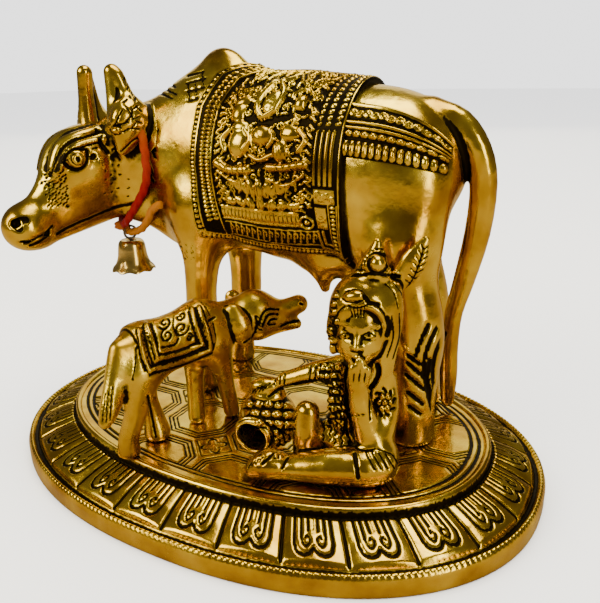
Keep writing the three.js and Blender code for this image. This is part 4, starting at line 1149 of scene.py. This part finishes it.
def base_ring():
    """Band, bead ring, petals and rim as one closed ring of rows."""
    profile = np.array([(15.6, 0), (0.6, 0), (0.1, 0.25), (0, 0.8), (0, 3.9), (0.15, 4.4), (0.3, 4.9),
                        (0.9, 5.6), (1.6, 5.0), (1.9, 4.4), (2.6, 4.2), (3.1, 4.7), (3.3, 5.1), (7.5, 7.2),
                        (12.4, 9.3), (13.2, 9.6), (13.35, 10.4), (13.6, 11.5), (14.1, 11.8), (14.7, 11.7),
                        (15.0, 11.2), (15.6, 10.4)])
    step = np.hypot(*np.diff(profile, axis=0).T)
    run = np.concatenate([[0], np.cumsum(step)])
    places = [np.array([0])]
    for a, b in zip(run[:-1], run[1:]):
        parts = max(int((b - a) / RING_STEP), 1)
        places.append(a + (b - a) * np.arange(1, parts + 1) / parts)
    keep = np.concatenate(places)
    keep = keep[(keep == 0) | (keep > run[1] - 0.01)]
    inset = np.interp(keep, run, profile[:, 0])[:, None]
    height = np.interp(keep, run, profile[:, 1])[:, None]
    columns = PETALS * PETAL_COLUMNS
    angle = oval_columns(columns)[None]
    share = ((np.arange(columns) / PETAL_COLUMNS - PETAL_START) % 1)[None]
    motif = petal_relief()
    crown = np.interp(inset, [2.9, 3.6, 7.5, 12.4, 13.1], [0, 1, 1.1, 0.5, 0])
    bulge = crown * np.sqrt(np.sin(math.pi * share))
    petals = np.interp(inset, [3, 3.4, 13.2, 13.4], [0, 1, 1, 0])
    cut = motif.at(motif.height, share * PETAL_SPAN, inset) * petals
    phase = np.arange(columns)[None] / BEAD_COLUMNS + inset * 0.35
    bead_row = np.interp(inset, [0.2, 0.5, 1.4, 1.7], [0, 1, 1, 0])
    bead = bead_row * (np.abs(np.sin(math.pi * phase)) ** 0.6 - 0.7)
    top = (height > 4) & (inset < 15.2)
    lift = np.where(top, bulge + cut + 0.45 * bead, 0)
    x, y = oval_point(angle, inset + 0 * angle)
    points = np.stack([x, y, height + lift], -1)
    # painted shade in the petals' cut lines, a painted shadow in the channel between bead ring and petals,
    # painted shade between the beads and along the petals' inner ends
    recess_shade = motif.at(motif.recess_shade, share * PETAL_SPAN, inset) * ((inset > 3.2) & (inset < 13.6))
    recess_shade = np.maximum(recess_shade, np.interp(inset, [1.5, 1.8, 2.6, 3.2], [0, 0.8, 0.9, 0]) * (height < 5.2))
    recess_shade = np.maximum(recess_shade, (bead < -0.35) * 0.75)
    recess_shade = np.maximum(recess_shade, np.exp(-((inset - 13.3) / 0.25) ** 2) * (height > 9) * 0.8)
    painted_shade_and_dye = np.where(top, recess_shade, 0)
    return points, painted_shade_and_dye


def deck_lines(x, y):
    """Engraved strapwork on the deck: 1 on a line, 0 away from it."""
    pitch = 21.0
    cx = np.abs((x - 8 + pitch / 2) % pitch - pitch / 2)
    cy = np.abs((y - 8 + pitch / 2) % pitch - pitch / 2)
    octagon = np.maximum(np.maximum(cx, cy), (cx + cy) / math.sqrt(2) * 0.98)
    line = np.zeros(x.shape)
    for at in (7.3, 8.3, 9.3):
        line = np.maximum(line, 1 - np.abs(octagon - at) / 0.36)
    qx, qy = pitch / 2 - cx, pitch / 2 - cy
    diamond = qx + qy
    line = np.maximum(line, 1 - np.abs(diamond - 5.4) / 0.4)
    petal = np.abs(np.sin(2 * np.arctan2(qy, qx)))
    flower = 1 - np.abs(np.hypot(qx, qy) - 1.2 - 2.0 * petal) / 0.4
    line = np.maximum(line, np.where(diamond < 5, flower, 0))
    along_x, across_y = BASE_LENGTH / 2, BASE_WIDTH / 2
    rim = np.abs(x / (along_x - 18.6)) ** OVAL_POWER + np.abs(y / (across_y - 18.6)) ** OVAL_POWER
    edge = (rim - 1) * 20
    line = np.where(edge > 0, 0, line)
    line = np.maximum(line, 1 - np.abs(edge - 0.2) / 0.5)
    line = np.maximum(line, 1 - np.abs(edge - 1.8) / 0.5)
    return np.clip(line * 1.6, 0, 1)


def deck_plate():
    """Deck: a square grid squashed into the oval, engraved on top, flat below."""
    rows, columns = 210, 300
    u, v = np.meshgrid(np.linspace(-1, 1, columns), np.linspace(-1, 1, rows))
    disc_x = u * np.sqrt(1 - v * v / 2)
    disc_y = v * np.sqrt(1 - u * u / 2)
    reach = np.hypot(disc_x, disc_y)
    angle = np.arctan2(disc_y, disc_x)
    c, s = np.abs(np.cos(angle)), np.abs(np.sin(angle))
    radius = reach / (c ** OVAL_POWER + s ** OVAL_POWER) ** (1 / OVAL_POWER)
    x = (BASE_LENGTH / 2 - RIM_INSET - 0.1) * radius * np.cos(angle)
    y = (BASE_WIDTH / 2 - RIM_INSET - 0.1) * radius * np.sin(angle)
    line = deck_lines(x, y)
    points = np.stack([x, y, DECK_HEIGHT - 0.22 * line], -1)
    return points, line


# Blender pieces

def spread_to_points(faces, values, size):
    """Mean of the neighbours' values at every mesh point."""
    rows = np.concatenate([faces[:, i] for i in range(4)])
    others = np.concatenate([faces[:, (i + 1) % 4] for i in range(4)])
    total = scatter(rows, values[others], size) + scatter(others, values[rows], size)
    count = np.bincount(rows, minlength=size) + np.bincount(others, minlength=size)
    return total / np.maximum(count, 1)[:, None]


def hollows(points, faces, rounds):
    """How far each point lies below its surroundings, in millimetres: more in creases."""
    normal = normals_of(points, faces)
    mean = points
    for _ in range(rounds):
        mean = spread_to_points(faces, mean, len(points))
    return ((mean - points) * normal).sum(1)


def make_piece(name, points, faces, material, node, painted_shade_and_dye=None):
    """Adds a mesh in metres that rides on the statue and stands for a node; faces are groups."""
    mesh = bpy.data.meshes.new(name)
    mesh.vertices.add(len(points))
    mesh.vertices.foreach_set("co", (points * MM).astype(np.float32).ravel())
    sizes = np.concatenate([np.full(len(group), group.shape[1]) for group in faces])
    corners = np.concatenate([group.ravel() for group in faces])
    mesh.loops.add(len(corners))
    mesh.loops.foreach_set("vertex_index", corners.astype(np.int32))
    mesh.polygons.add(len(sizes))
    mesh.polygons.foreach_set("loop_start", np.concatenate([[0], np.cumsum(sizes)[:-1]]).astype(np.int32))
    mesh.update(calc_edges=True)
    mesh.validate()
    mesh.shade_smooth()
    # per-point value stored on the mesh: painted shade on the gold pieces, the dye's share on the thread
    if painted_shade_and_dye is not None:
        layer = mesh.attributes.new("painted_shade_and_dye", "FLOAT", "POINT")
        layer.data.foreach_set("value", np.clip(painted_shade_and_dye, 0, 1).astype(np.float32))
    mesh.materials.append(material)
    piece = bpy.data.objects.new(name, mesh)
    bpy.context.scene.collection.objects.link(piece)
    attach(piece, "root")
    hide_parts(node)
    return piece


# Materials

GOLD_DEEP = (0.42, 0.23, 0.012)
GOLD_MIDDLE = (0.66, 0.425, 0.03)
GOLD_BRIGHT = (0.86, 0.64, 0.07)
# near-black of the painted shade in the gold's recesses and cut lines
PAINTED_SHADE_BLACK = (0.012, 0.008, 0.003)
THREAD_RED = (0.13, 0.001, 0.0)
THREAD_SCARLET = (0.16, 0.012, 0.0)
THREAD_ORANGE = (0.17, 0.034, 0.0)
THREAD_YELLOW = (0.22, 0.068, 0.0)


class Look:
    """One material's nodes: each method adds a node and gives its output."""

    def __init__(self, name):
        self.material = bpy.data.materials.new(name)
        self.material.use_nodes = True
        self.nodes = self.material.node_tree.nodes
        self.links = self.material.node_tree.links
        self.shader = self.nodes["Principled BSDF"]

    def feed(self, socket, value):
        """Sets a socket to a number or a colour, or links another node's output to it."""
        if isinstance(value, tuple):
            socket.default_value = (*value, 1)
        elif isinstance(value, (int, float)):
            socket.default_value = value
        else:
            self.links.new(value, socket)

    def surface(self, **values):
        """Sets the shader's inputs by name."""
        for name, value in values.items():
            self.feed(self.shader.inputs[name.replace("_", " ")], value)

    def noise(self, scale, detail):
        place = self.nodes.new("ShaderNodeTexCoord").outputs["Object"]
        node = self.nodes.new("ShaderNodeTexNoise")
        node.inputs["Scale"].default_value = scale
        node.inputs["Detail"].default_value = detail
        self.links.new(place, node.inputs["Vector"])
        return node.outputs["Fac"]

    # per-point value: painted shade on the gold pieces, the dye's share on the thread
    def painted_shade_and_dye(self):
        node = self.nodes.new("ShaderNodeAttribute")
        node.attribute_name = "painted_shade_and_dye"
        return node.outputs["Fac"]

    def ramp(self, source, *stops):
        """Colour ramp through (place, value) stops; a value is one number or a colour."""
        node = self.nodes.new("ShaderNodeValToRGB")
        elements = node.color_ramp.elements
        while len(elements) < len(stops):
            elements.new(0.5)
        for element, (place, value) in zip(elements, stops):
            element.position = place
            colour = (value, value, value) if isinstance(value, (int, float)) else value
            element.color = (*colour, 1)
        self.links.new(source, node.inputs["Fac"])
        return node.outputs["Color"]

    def mix(self, share, a, b):
        node = self.nodes.new("ShaderNodeMix")
        node.data_type = "RGBA"
        self.links.new(share, node.inputs["Factor"])
        self.feed(node.inputs[6], a)
        self.feed(node.inputs[7], b)
        return node.outputs[2]

    def math(self, kind, a, b):
        node = self.nodes.new("ShaderNodeMath")
        node.operation = kind
        self.feed(node.inputs[0], a)
        self.feed(node.inputs[1], b)
        return node.outputs[0]

    def bump(self, height, distance):
        """Fine unevenness of the surface, a distance in metres high."""
        node = self.nodes.new("ShaderNodeBump")
        node.inputs["Strength"].default_value = 1.0
        node.inputs["Distance"].default_value = distance
        self.links.new(height, node.inputs["Height"])
        self.links.new(node.outputs["Normal"], self.shader.inputs["Normal"])


def gold(name, grain=0.5, roughness=0.2):
    """Polished gold plating over a cast surface, with painted shade darkening its recesses and cut lines.
    """
    look = Look(name)
    ragged = look.math("MULTIPLY", look.math("SUBTRACT", look.noise(900, 3), 0.5), 0.7)
    # painted shade: the per-point value turns the gold near-black and rougher in recesses and cut lines
    dark = look.ramp(look.math("ADD", look.painted_shade_and_dye(), ragged), (0.25, 0.0), (0.58, 1.0))
    tone = look.ramp(look.noise(90, 4), (0.32, GOLD_DEEP), (0.5, GOLD_MIDDLE), (0.68, GOLD_BRIGHT))
    shine = look.ramp(look.noise(260, 4), (0.3, roughness - 0.06), (0.7, roughness + 0.08))
    look.surface(Base_Color=look.mix(dark, tone, PAINTED_SHADE_BLACK), Metallic=1.0,
                 Roughness=look.mix(dark, shine, (0.5, 0.5, 0.5)))
    fine = look.math("MULTIPLY", look.noise(900, 3), 0.25 * grain)
    look.bump(look.math("ADD", look.noise(150, 2), fine), 0.00028)
    return look.material


def pale_brass():
    look = Look("bell_brass")
    tone = look.ramp(look.noise(300, 3), (0.35, (0.6, 0.42, 0.12)), (0.65, (0.76, 0.56, 0.2)))
    shine = look.ramp(look.noise(700, 3), (0.3, 0.16), (0.7, 0.26))
    look.surface(Base_Color=tone, Metallic=1.0, Roughness=shine)
    look.bump(look.noise(900, 3), 0.00002)
    return look.material


def wire_steel():
    look = Look("hook_wire")
    tone = look.ramp(look.noise(900, 2), (0.35, (0.05, 0.045, 0.04)), (0.65, (0.22, 0.19, 0.15)))
    shine = look.ramp(look.noise(1200, 2), (0.3, 0.3), (0.7, 0.5))
    look.surface(Base_Color=tone, Metallic=1.0, Roughness=shine)
    look.bump(look.noise(3000, 2), 0.00003)
    return look.material


def dyed_cotton():
    """Cotton thread: its per-point value runs from red over orange to the yellow of its free end."""
    look = Look("thread_cotton")
    share = look.math("ADD", look.painted_shade_and_dye(), look.math("MULTIPLY", look.noise(400, 2), 0.12))
    dye = look.ramp(share, (0.12, THREAD_RED), (0.4, THREAD_SCARLET), (0.62, THREAD_ORANGE),
                    (0.9, THREAD_YELLOW))
    look.surface(Base_Color=dye, Roughness=0.85, Specular_IOR_Level=0.1)
    look.bump(look.noise(4000, 3), 0.0001)
    return look.material


# Stage, light and camera

WARM_WHITE = (1.0, 0.9, 0.64)
LIGHT_AIM = (0, 0, 0.05)

def lay_floor():
    """Pale floor; polished metal sees it darker and warmer, as it would see a table."""
    look = Look("floor_white")
    seen = look.nodes.new("ShaderNodeLightPath").outputs["Is Glossy Ray"]
    look.surface(Base_Color=look.mix(seen, (0.93, 0.93, 0.93), (0.22, 0.16, 0.07)), Roughness=0.8)
    mesh = bpy.data.meshes.new("floor")
    reach = 4.0
    corners = [(-reach, -reach, 0), (reach, -reach, 0), (reach, reach, 0), (-reach, reach, 0)]
    mesh.from_pydata(corners, [], [(0, 1, 2, 3)])
    mesh.materials.append(look.material)
    floor = bpy.data.objects.new("floor", mesh)
    bpy.context.scene.collection.objects.link(floor)


def add_light(name, place, size, power):
    """Soft rectangular lamp aimed at the statue, hidden from the camera."""
    data = bpy.data.lights.new(name, "AREA")
    data.shape = "RECTANGLE"
    data.size = size[0]
    data.size_y = size[1]
    data.energy = power
    data.color = WARM_WHITE
    lamp = bpy.data.objects.new(name, data)
    bpy.context.scene.collection.objects.link(lamp)
    lamp.visible_camera = False
    place = np.array(place, float)
    lamp.matrix_world = looking(place, place - LIGHT_AIM, 0)


def looking(place, back, roll):
    """Matrix of something at a place whose -Z axis points against back, turned by roll degrees."""
    back = back / np.linalg.norm(back)
    right = np.cross((0, 0, 1), back)
    right /= np.linalg.norm(right)
    up = np.cross(back, right)
    c, s = cos_sin(roll)
    right, up = right * c + up * s, up * c - right * s
    matrix = Matrix.Identity(4)
    for row in range(3):
        for column, axis in enumerate((right, up, back, place)):
            matrix[row][column] = axis[row]
    return matrix


def light_scene():
    """Soft lamps; the room is bright to the eye and dim to polished metal."""
    world = bpy.data.worlds.new("studio")
    bpy.context.scene.world = world
    world.use_nodes = True
    nodes = world.node_tree.nodes
    links = world.node_tree.links
    room = nodes["Background"]
    room.inputs["Color"].default_value = (1.0, 0.86, 0.55, 1)
    room.inputs["Strength"].default_value = 0.14
    backdrop = nodes.new("ShaderNodeBackground")
    backdrop.inputs["Color"].default_value = (1, 1, 1, 1)
    backdrop.inputs["Strength"].default_value = 2.4
    seen = nodes.new("ShaderNodeLightPath")
    choice = nodes.new("ShaderNodeMixShader")
    links.new(seen.outputs["Is Glossy Ray"], choice.inputs[0])
    links.new(backdrop.outputs[0], choice.inputs[1])
    links.new(room.outputs[0], choice.inputs[2])
    links.new(choice.outputs[0], nodes["World Output"].inputs["Surface"])
    add_light("key", (-0.45, -0.60, 0.50), (0.5, 0.45), 6)
    add_light("top", (0.1, 0.1, 0.9), (0.6, 0.5), 7)
    add_light("side", (0.8, -0.35, 0.30), (0.2, 0.6), 3)
    add_light("back", (-0.45, 0.85, 0.45), (1.1, 0.65), 3)


def camera_back():
    """Direction from the statue to the camera."""
    south, east = cos_sin(CAMERA_AZIMUTH)
    level, up = cos_sin(CAMERA_ELEVATION)
    return np.array((east * level, -south * level, up))


def add_camera():
    data = bpy.data.cameras.new("camera")
    data.lens = CAMERA_LENS
    data.sensor_width = 36
    data.clip_start = 0.005
    data.clip_end = 20
    camera = bpy.data.objects.new("camera", data)
    bpy.context.scene.collection.objects.link(camera)
    back = camera_back()
    place = (np.array(CAMERA_TARGET) + back * CAMERA_DISTANCE) * MM
    camera.matrix_world = looking(place, back, CAMERA_ROLL)
    bpy.context.scene.camera = camera


add_camera()
lay_floor()
light_scene()


def body_piece(name, field, low, high, step, material, node, press, crease=0.1):
    """Piece of a figure from its field; press adds the flat reliefs to its points and gives their painted
    shade.
    """
    points, faces = skin(field, low, high, step)
    points = tighten(field, points, faces)
    points, recess_shade = press(points, faces)
    deep = hollows(points, faces, 6)
    # painted shade: points more than crease millimetres below their surroundings turn fully dark, as do the
    # reliefs' cut lines
    return make_piece(name, points, [faces], material, node, np.maximum(deep / crease, recess_shade))


def part_of(field, inner):
    """The part of a field where inner is negative; past it the surface sinks and ends."""
    sink = 0.3
    reach = 1.5

    def cut(x, y, z):
        past = inner(x, y, z)
        return np.maximum(field(x, y, z) + sink * np.clip(past / reach, 0, 1), past - 2 * reach)
    return cut


def rest_of(field, inner):
    """The part of a field where inner is positive, with a clean edge."""
    return lambda x, y, z: np.maximum(field(x, y, z), -inner(x, y, z))


def behind_thread(x, y, z):
    """Negative on the body's side of the seam under the thread."""
    lean = 7.5 * np.clip((THREAD_LOOP[2] - z) / 19, 0, 1) ** 2
    crest = 4 * np.clip((z - 80) / 4, 0, 1)
    return crest - lean - (x - THREAD_LOOP[0] + y - THREAD_LOOP[1]) * math.sqrt(0.5)


def rear_half(x, y, z):
    """Negative in front of the seam under the saddle cloth."""
    return x - 2


def cow_marks():
    """Cuts in the cow's near side: u along the statue, v up."""
    r = Relief(-60, 60, 8, 108, 0.12)
    for line in (((-33.4, 89), (-31.8, 87.2)), ((-35.3, 83.6), (-33.4, 80.2)),
                 ((-34.4, 84), (-33.2, 82)), ((-36.2, 79.4), (-34.9, 75.8)),
                 ((-35.9, 75.2), (-34.8, 73.6)), ((-34.8, 86.4), (-33.8, 84.4))):
        r.groove(line, 1.1, 0.5)
    for line in (((-32, 97.6), (-26, 95.6)), ((-30.2, 98.6), (-24.6, 96.6)), ((-28, 99.4), (-24.8, 98.4))):
        r.groove(line, 0.8, 0.4)
    for line in (((-21.1, 99.2), (-15, 100.4)), ((-21.1, 97.2), (-15.6, 98.3)),
                 ((-20.8, 95), (-17.8, 95.6)), ((-20.6, 99.2), (-20.4, 95)), ((-18.4, 99.6), (-17.9, 95.6)),
                 ((-15.9, 101.4), (-15.8, 98.3)), ((-20.4, 101), (-15.4, 102))):
        r.groove(line, 0.7, 0.35)
    for line in (((40.6, 36), (43.8, 34.3)), ((40.6, 34), (44.9, 31.2)), ((40.4, 30.8), (44.9, 28)),
                 ((41, 26.2), (44.9, 23.9)), ((41.6, 22.4), (44.4, 21))):
        r.groove(line, 1.3, 0.55)
    for line in (((47.4, 44.4), (45.4, 38.7), (44.9, 33.5), (46.2, 27), (47.8, 22)),
                 ((49.4, 43.6), (47.4, 37.4), (47.2, 31.7), (48.8, 24.6)),
                 ((45.4, 45), (43.6, 40), (42.6, 36.4)), ((46.2, 36), (46.0, 31), (47.6, 25))):
        r.cut(line, 1.2, 0.55)
    r.dashes(strewn(30, -30, 52, 8, 5), 0.6, -0.4, 0.5, 0.15, 0.45)
    return r


def cow_pieces(body, material):
    """The cow in three meshes that meet under the thread and under the saddle cloth."""
    figure = standing(meld(2, meld(1.6, body, cow_head()), cow_tail()))
    marks = cow_marks()
    face = head_relief()
    ear_lines(face)

    def press_body(points, faces):
        return engraved(points, faces, (0, 0, 0), marks, 1, 1)

    def press_head(points, faces):
        return engraved(points, faces, HEAD_FRAME, face)
    main = part_of(figure, behind_thread)
    body_piece("cow_front", part_of(main, rear_half), (-58, -6, 10), (8, 38, 108), 0.55,
               material, "cow", press_body)
    body_piece("cow_rear", rest_of(figure, rear_half), (0, -10, 10), (62, 38, 108), 0.55,
               material, "cow", press_body)
    body_piece("cow_head", rest_of(figure, behind_thread), (-76, -36, 50), (-34, 24, 108), 0.34,
               material, "cow", press_head, 0.06)


def calf_piece(material):
    side = calf_side()
    face = calf_face()

    def press(points, faces):
        points, recess_shade = engraved(points, faces, CALF_FRAME, side, 1, 5)
        points, more = engraved(points, faces, CALF_HEAD_FRAME, face, 1, 3.5)
        return points, np.maximum(recess_shade, more)
    body_piece("calf_body", calf_field(), (-35, -52, 10), (16, 12, 50), 0.36,
               material, "calf", press, 0.07)


def child_piece(material):
    front = child_front()

    def press(points, faces):
        return engraved(points, faces, CHILD_FRAME, front, 1, 2)
    body_piece("child_body", child_field(), (2, -42, 10), (54, 2, 70), 0.32,
               material, "seated_child", press, 0.06)


def patch_piece(name, base, lift, painted_shade_and_dye, middle, material):
    """A patch of cloth on the cow: a grid raised off her, with its edges turned down into her body."""
    normal = grid_normals(base)
    rings = 3
    pad = [(rings, rings), (rings, rings)]
    base = np.pad(base, pad + [(0, 0)], mode="edge")
    normal = np.pad(normal, pad + [(0, 0)], mode="edge")
    lift = np.pad(lift, pad, mode="edge")
    painted_shade_and_dye = np.pad(painted_shade_and_dye, pad, mode="edge")
    out = np.minimum.outer(*(np.minimum(np.arange(n), np.arange(n)[::-1]) for n in lift.shape))
    lift = np.where(out == 2, lift * 0.75, np.where(out == 1, 0.3, np.where(out == 0, -0.8, lift)))
    points = base + normal * lift[..., None]
    centre = np.array((middle, COW_MIDDLE, COW_AXIS))
    rim = points.reshape(-1, 3)[edge_points(*lift.shape)]
    flat, faces = capped(points, rim + (centre - rim) * 0.5, centre)
    # painted shade: the rows where the cloth's edge turns down into the body are fully dark
    painted_shade_and_dye = np.concatenate([np.where(out <= 1, 1.0, painted_shade_and_dye).ravel(), np.ones(len(rim) + 1)])
    return make_piece(name, flat, faces, material, "cow", painted_shade_and_dye)


def saddle_piece(body, material):
    relief = saddle_relief()
    rows, columns = 170, 150
    u = np.linspace(SADDLE_FRONT, SADDLE_REAR, columns)[None]
    bottom = np.interp(u, [-20, -14, -8, 5, 15, 24], [-15.6, -19.0, -20.5, -19.9, -21.2, -21.4])
    share = np.concatenate([np.linspace(0, 1, rows), np.linspace(1, 0, rows)[1:]])[:, None]
    far = (np.arange(2 * rows - 1) >= rows)[:, None]
    v = bottom + (SPINE - bottom) * share
    angle = np.where(far, math.pi - v / CLOTH_REACH, v / CLOTH_REACH)
    front = np.interp(v, [-21, 4, 20, 27, SPINE], [-18.5, -20.2, -20, -17, -9])
    x = SADDLE_REAR + (front - SADDLE_REAR) * (SADDLE_REAR - u) / (SADDLE_REAR - SADDLE_FRONT)
    base = wrapped(x, angle, wrap_radius(body, x, angle))
    lift = CLOTH + relief.at(relief.height, u + 0 * v, v)
    # painted shade on the cloth's low ground, in its hollows and in its cut lines
    painted_shade_and_dye = relief.at(relief.painted_shade_and_dye(0.36, 0.6, 2.2), u + 0 * v, v)
    return patch_piece("saddle_cloth", base, lift, painted_shade_and_dye, 4, material)


def rump_piece(body, material, far):
    relief = rump_relief()
    rows, columns = 50, 86
    u = np.linspace(RUMP_START, RUMP_END, columns)[None]
    v = np.linspace(0, RUMP_WIDTH, rows)[:, None]
    low = np.interp(u, [RUMP_START, RUMP_END], [8.2, 6.3])
    s = low + v
    angle = np.where(far, math.pi - s / CLOTH_REACH, s / CLOTH_REACH)
    x = u + 0 * v
    base = wrapped(x, angle, wrap_radius(body, x, angle))
    if far:
        base = base[::-1]
        v = v[::-1]
    lift = 0.8 + relief.at(relief.height, x, v + 0 * u)
    # painted shade on the band's low ground, in its hollows and in its cut lines
    painted_shade_and_dye = relief.at(relief.painted_shade_and_dye(0.33), x, v + 0 * u)
    return patch_piece("rump_band_far" if far else "rump_band_near", base, lift, painted_shade_and_dye, 33, material)


def base_piece(material):
    points, painted_shade_and_dye = base_ring()
    rows, columns = painted_shade_and_dye.shape
    flat = np.concatenate([points.reshape(-1, 3), [(0, 0, 0), (0, 0, DECK_HEIGHT - 1)]])
    bottom = np.full(columns, rows * columns)
    first = np.arange(columns)
    last = first + (rows - 1) * columns
    disc = np.stack([np.roll(first, -1), first, bottom], 1)
    lid = np.stack([last, np.roll(last, -1), bottom + 1], 1)
    return make_piece("base_ring", flat, [grid_faces(rows, columns, True), disc, lid], material, "base",
                      np.concatenate([painted_shade_and_dye.ravel(), [0, 0]]))


def deck_piece(material):
    points, line = deck_plate()
    below = DECK_HEIGHT - 0.9
    rim = points.reshape(-1, 3)[edge_points(*line.shape)] * (1, 1, 0) + (0, 0, below)
    flat, faces = capped(points, rim, (0, 0, below))
    # painted shade in the engraved strapwork lines
    painted_shade_and_dye = np.concatenate([line.ravel() * 0.95, np.zeros(len(rim) + 1)])
    return make_piece("base_deck", flat, faces, material, "base", painted_shade_and_dye)


def bell_piece(material):
    """Bell turned from its profile, with a mouth that flares in shallow waves."""
    r, h, w, hole = BELL_RADIUS, BELL_HEIGHT, BELL_WALL, BELL_HOLE
    outer = [(r, 0), (0.99 * r, 0.3), (0.93 * r, 0.9), (0.84 * r, 1.5), (0.76 * r, 2.4), (0.7 * r, 3.5),
             (0.66 * r, 0.5 * h), (0.63 * r, 0.7 * h), (0.6 * r, 0.86 * h), (0.55 * r, 0.95 * h),
             (0.47 * r, h), (0.3 * r, h), (hole, h)]
    inner = [(hole, h - w), (0.5 * r - 0.3 * w, h - w), (0.6 * r - w, 0.8 * h), (0.66 * r - w, 0.5 * h),
             (0.76 * r - w, 2.4), (r - 0.6 * w, 0)]
    profile = np.array(outer + inner + outer[:1])
    columns = 96
    angle = np.arange(columns)[None] / columns * 2 * math.pi
    wave = np.clip(1 - profile[:, 1] / 2.2, 0, 1)[:, None] * (1 - np.cos(9 * angle))
    radius = profile[:, :1] * (1 - 0.025 * wave)
    points = np.stack([radius * np.cos(angle), radius * np.sin(angle), profile[:, 1:] + 0.22 * wave], -1)
    faces = grid_faces(len(profile), columns, True)[:, ::-1]
    return make_piece("bell_shell", points.reshape(-1, 3) + BELL_PLACE, [faces], material, "bell")


def cleared(body, points, out):
    """Points moved along their own directions until the thread clears the body there."""
    room = THREAD_DIAMETER / 2 + SOLE_GAP
    for _ in range(60):
        short = np.maximum(room - body(points[:, 0], points[:, 1], points[:, 2]), 0)
        points = points + out * (0.7 * short)[:, None]
    return points


def thread_loop(body):
    """Loop of the thread around the neck."""
    turn = np.arange(56) / 56 * 2 * math.pi
    drop = np.maximum(-np.cos(turn), 0) ** 2
    rise = np.maximum(np.cos(turn), 0) ** 4
    zero = 0 * turn
    out = np.stack([np.sin(turn) * math.sqrt(0.5), -np.sin(turn) * math.sqrt(0.5), np.cos(turn)], -1)
    shift = np.stack([7.2 * drop + 3.2 * rise, 3.4 * drop + 1.6 * rise, zero], -1)
    return cleared(body, np.array(THREAD_LOOP) - shift + 2 * out, out)


def thread_paths(body):
    """Loop, free end and knot of the thread; the free end runs through the hook and rests on the neck."""
    loop = thread_loop(body)
    low = loop[np.argmin(loop[:, 2])]
    rest = np.array([(-43.6, 2, 58.6), (-39.6, 0.4, 61.6), (-35.6, -1, 65.6), (-31, -1.4, 67.8)])
    rest = cleared(body, rest, np.array([(0, -1, 0)] * len(rest)))
    bow = np.array(BELL_PLACE) + (0, 0, BELL_HEIGHT + HOOK_RISE)
    tail = np.concatenate([[low + (0, 0, -1), bow], rest])
    turns = np.linspace(0, 4 * math.pi, 60)
    climb = 0.12 * (turns - 2 * math.pi) - 0.6
    knot = np.stack([1.5 * np.cos(turns) - 0.4, 1.3 * np.sin(turns), climb], -1)
    return np.array(bend(np.concatenate([loop, loop[:1]]), 6))[:-1], np.array(bend(tail, 10)), low + knot


def twisted(path, radius, closed):
    """Rows of points around a path: three strands wound around each other."""
    ahead = np.roll(path, -1, 0) - np.roll(path, 1, 0) if closed else np.gradient(path, axis=0)
    ahead /= np.linalg.norm(ahead, axis=1)[:, None]
    level = np.array((math.sqrt(0.5), math.sqrt(0.5), 0))
    first = level - ahead * (ahead @ level)[:, None]
    first /= np.linalg.norm(first, axis=1)[:, None]
    second = np.cross(ahead, first)
    run = np.concatenate([[0], np.cumsum(np.linalg.norm(np.diff(path, axis=0), axis=1))])[:, None]
    angle = np.arange(THREAD_SIDES)[None] / THREAD_SIDES * 2 * math.pi
    out = radius * (1 + 0.12 * np.cos(3 * angle + 1.6 * run))[..., None]
    around = np.cos(angle)[..., None] * first[:, None] + np.sin(angle)[..., None] * second[:, None]
    return path[:, None] + out * around


def thread_piece(body, material):
    """Thread around the neck, its knot and its free end; the per-point value carries the dye."""
    radius = THREAD_DIAMETER / 2
    loop, tail, knot = thread_paths(body)
    orange, yellow = 0.6, 1.0
    height = orange * np.clip((loop[:, 2] - 70) / 20, 0, 1)
    points, groups, dye = [], [], []
    start = 0
    for path, thick, shade in ((loop, radius, height), (tail, radius, yellow),
                               (knot, 0.8 * radius, orange)):
        closed = path is loop
        count = len(path)
        number = start + np.arange(count * THREAD_SIDES).reshape(count, THREAD_SIDES)
        first, last = number[0], number[-1]
        groups.append(grid_faces(count, THREAD_SIDES, True) + start)
        points.append(twisted(path, thick, closed).reshape(-1, 3))
        dye.append(np.repeat(shade + np.zeros(count), THREAD_SIDES))
        if closed:
            groups.append(np.stack([last, np.roll(last, -1), np.roll(first, -1), first], 1))
        else:
            end = np.full(THREAD_SIDES, start + number.size)
            groups.append(np.stack([np.roll(first, -1), first, end], 1))
            groups.append(np.stack([last, np.roll(last, -1), end + 1], 1))
            points.append(path[[0, -1]])
            dye.append(np.full(2, shade))
        start = sum(len(rows) for rows in points)
    return make_piece("thread_twist", np.concatenate(points), groups, material, "neck_thread",
                      np.concatenate(dye))


body = cow_body()
cow_pieces(body, gold("gold_cow"))
saddle_piece(body, gold("gold_cloth", 0.6))
rump_piece(body, gold("gold_rump", 0.6), False)
rump_piece(body, gold("gold_rump_far", 0.6), True)
base_piece(gold("gold_base", 0.5))
deck_piece(gold("gold_deck", 0.5))
calf_piece(gold("gold_calf", 1.0, 0.28))
child_piece(gold("gold_child", 0.7))
bell_piece(pale_brass())
thread_piece(body, dyed_cotton())
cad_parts["bell_hook"].data.materials.clear()
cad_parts["bell_hook"].data.materials.append(wire_steel())
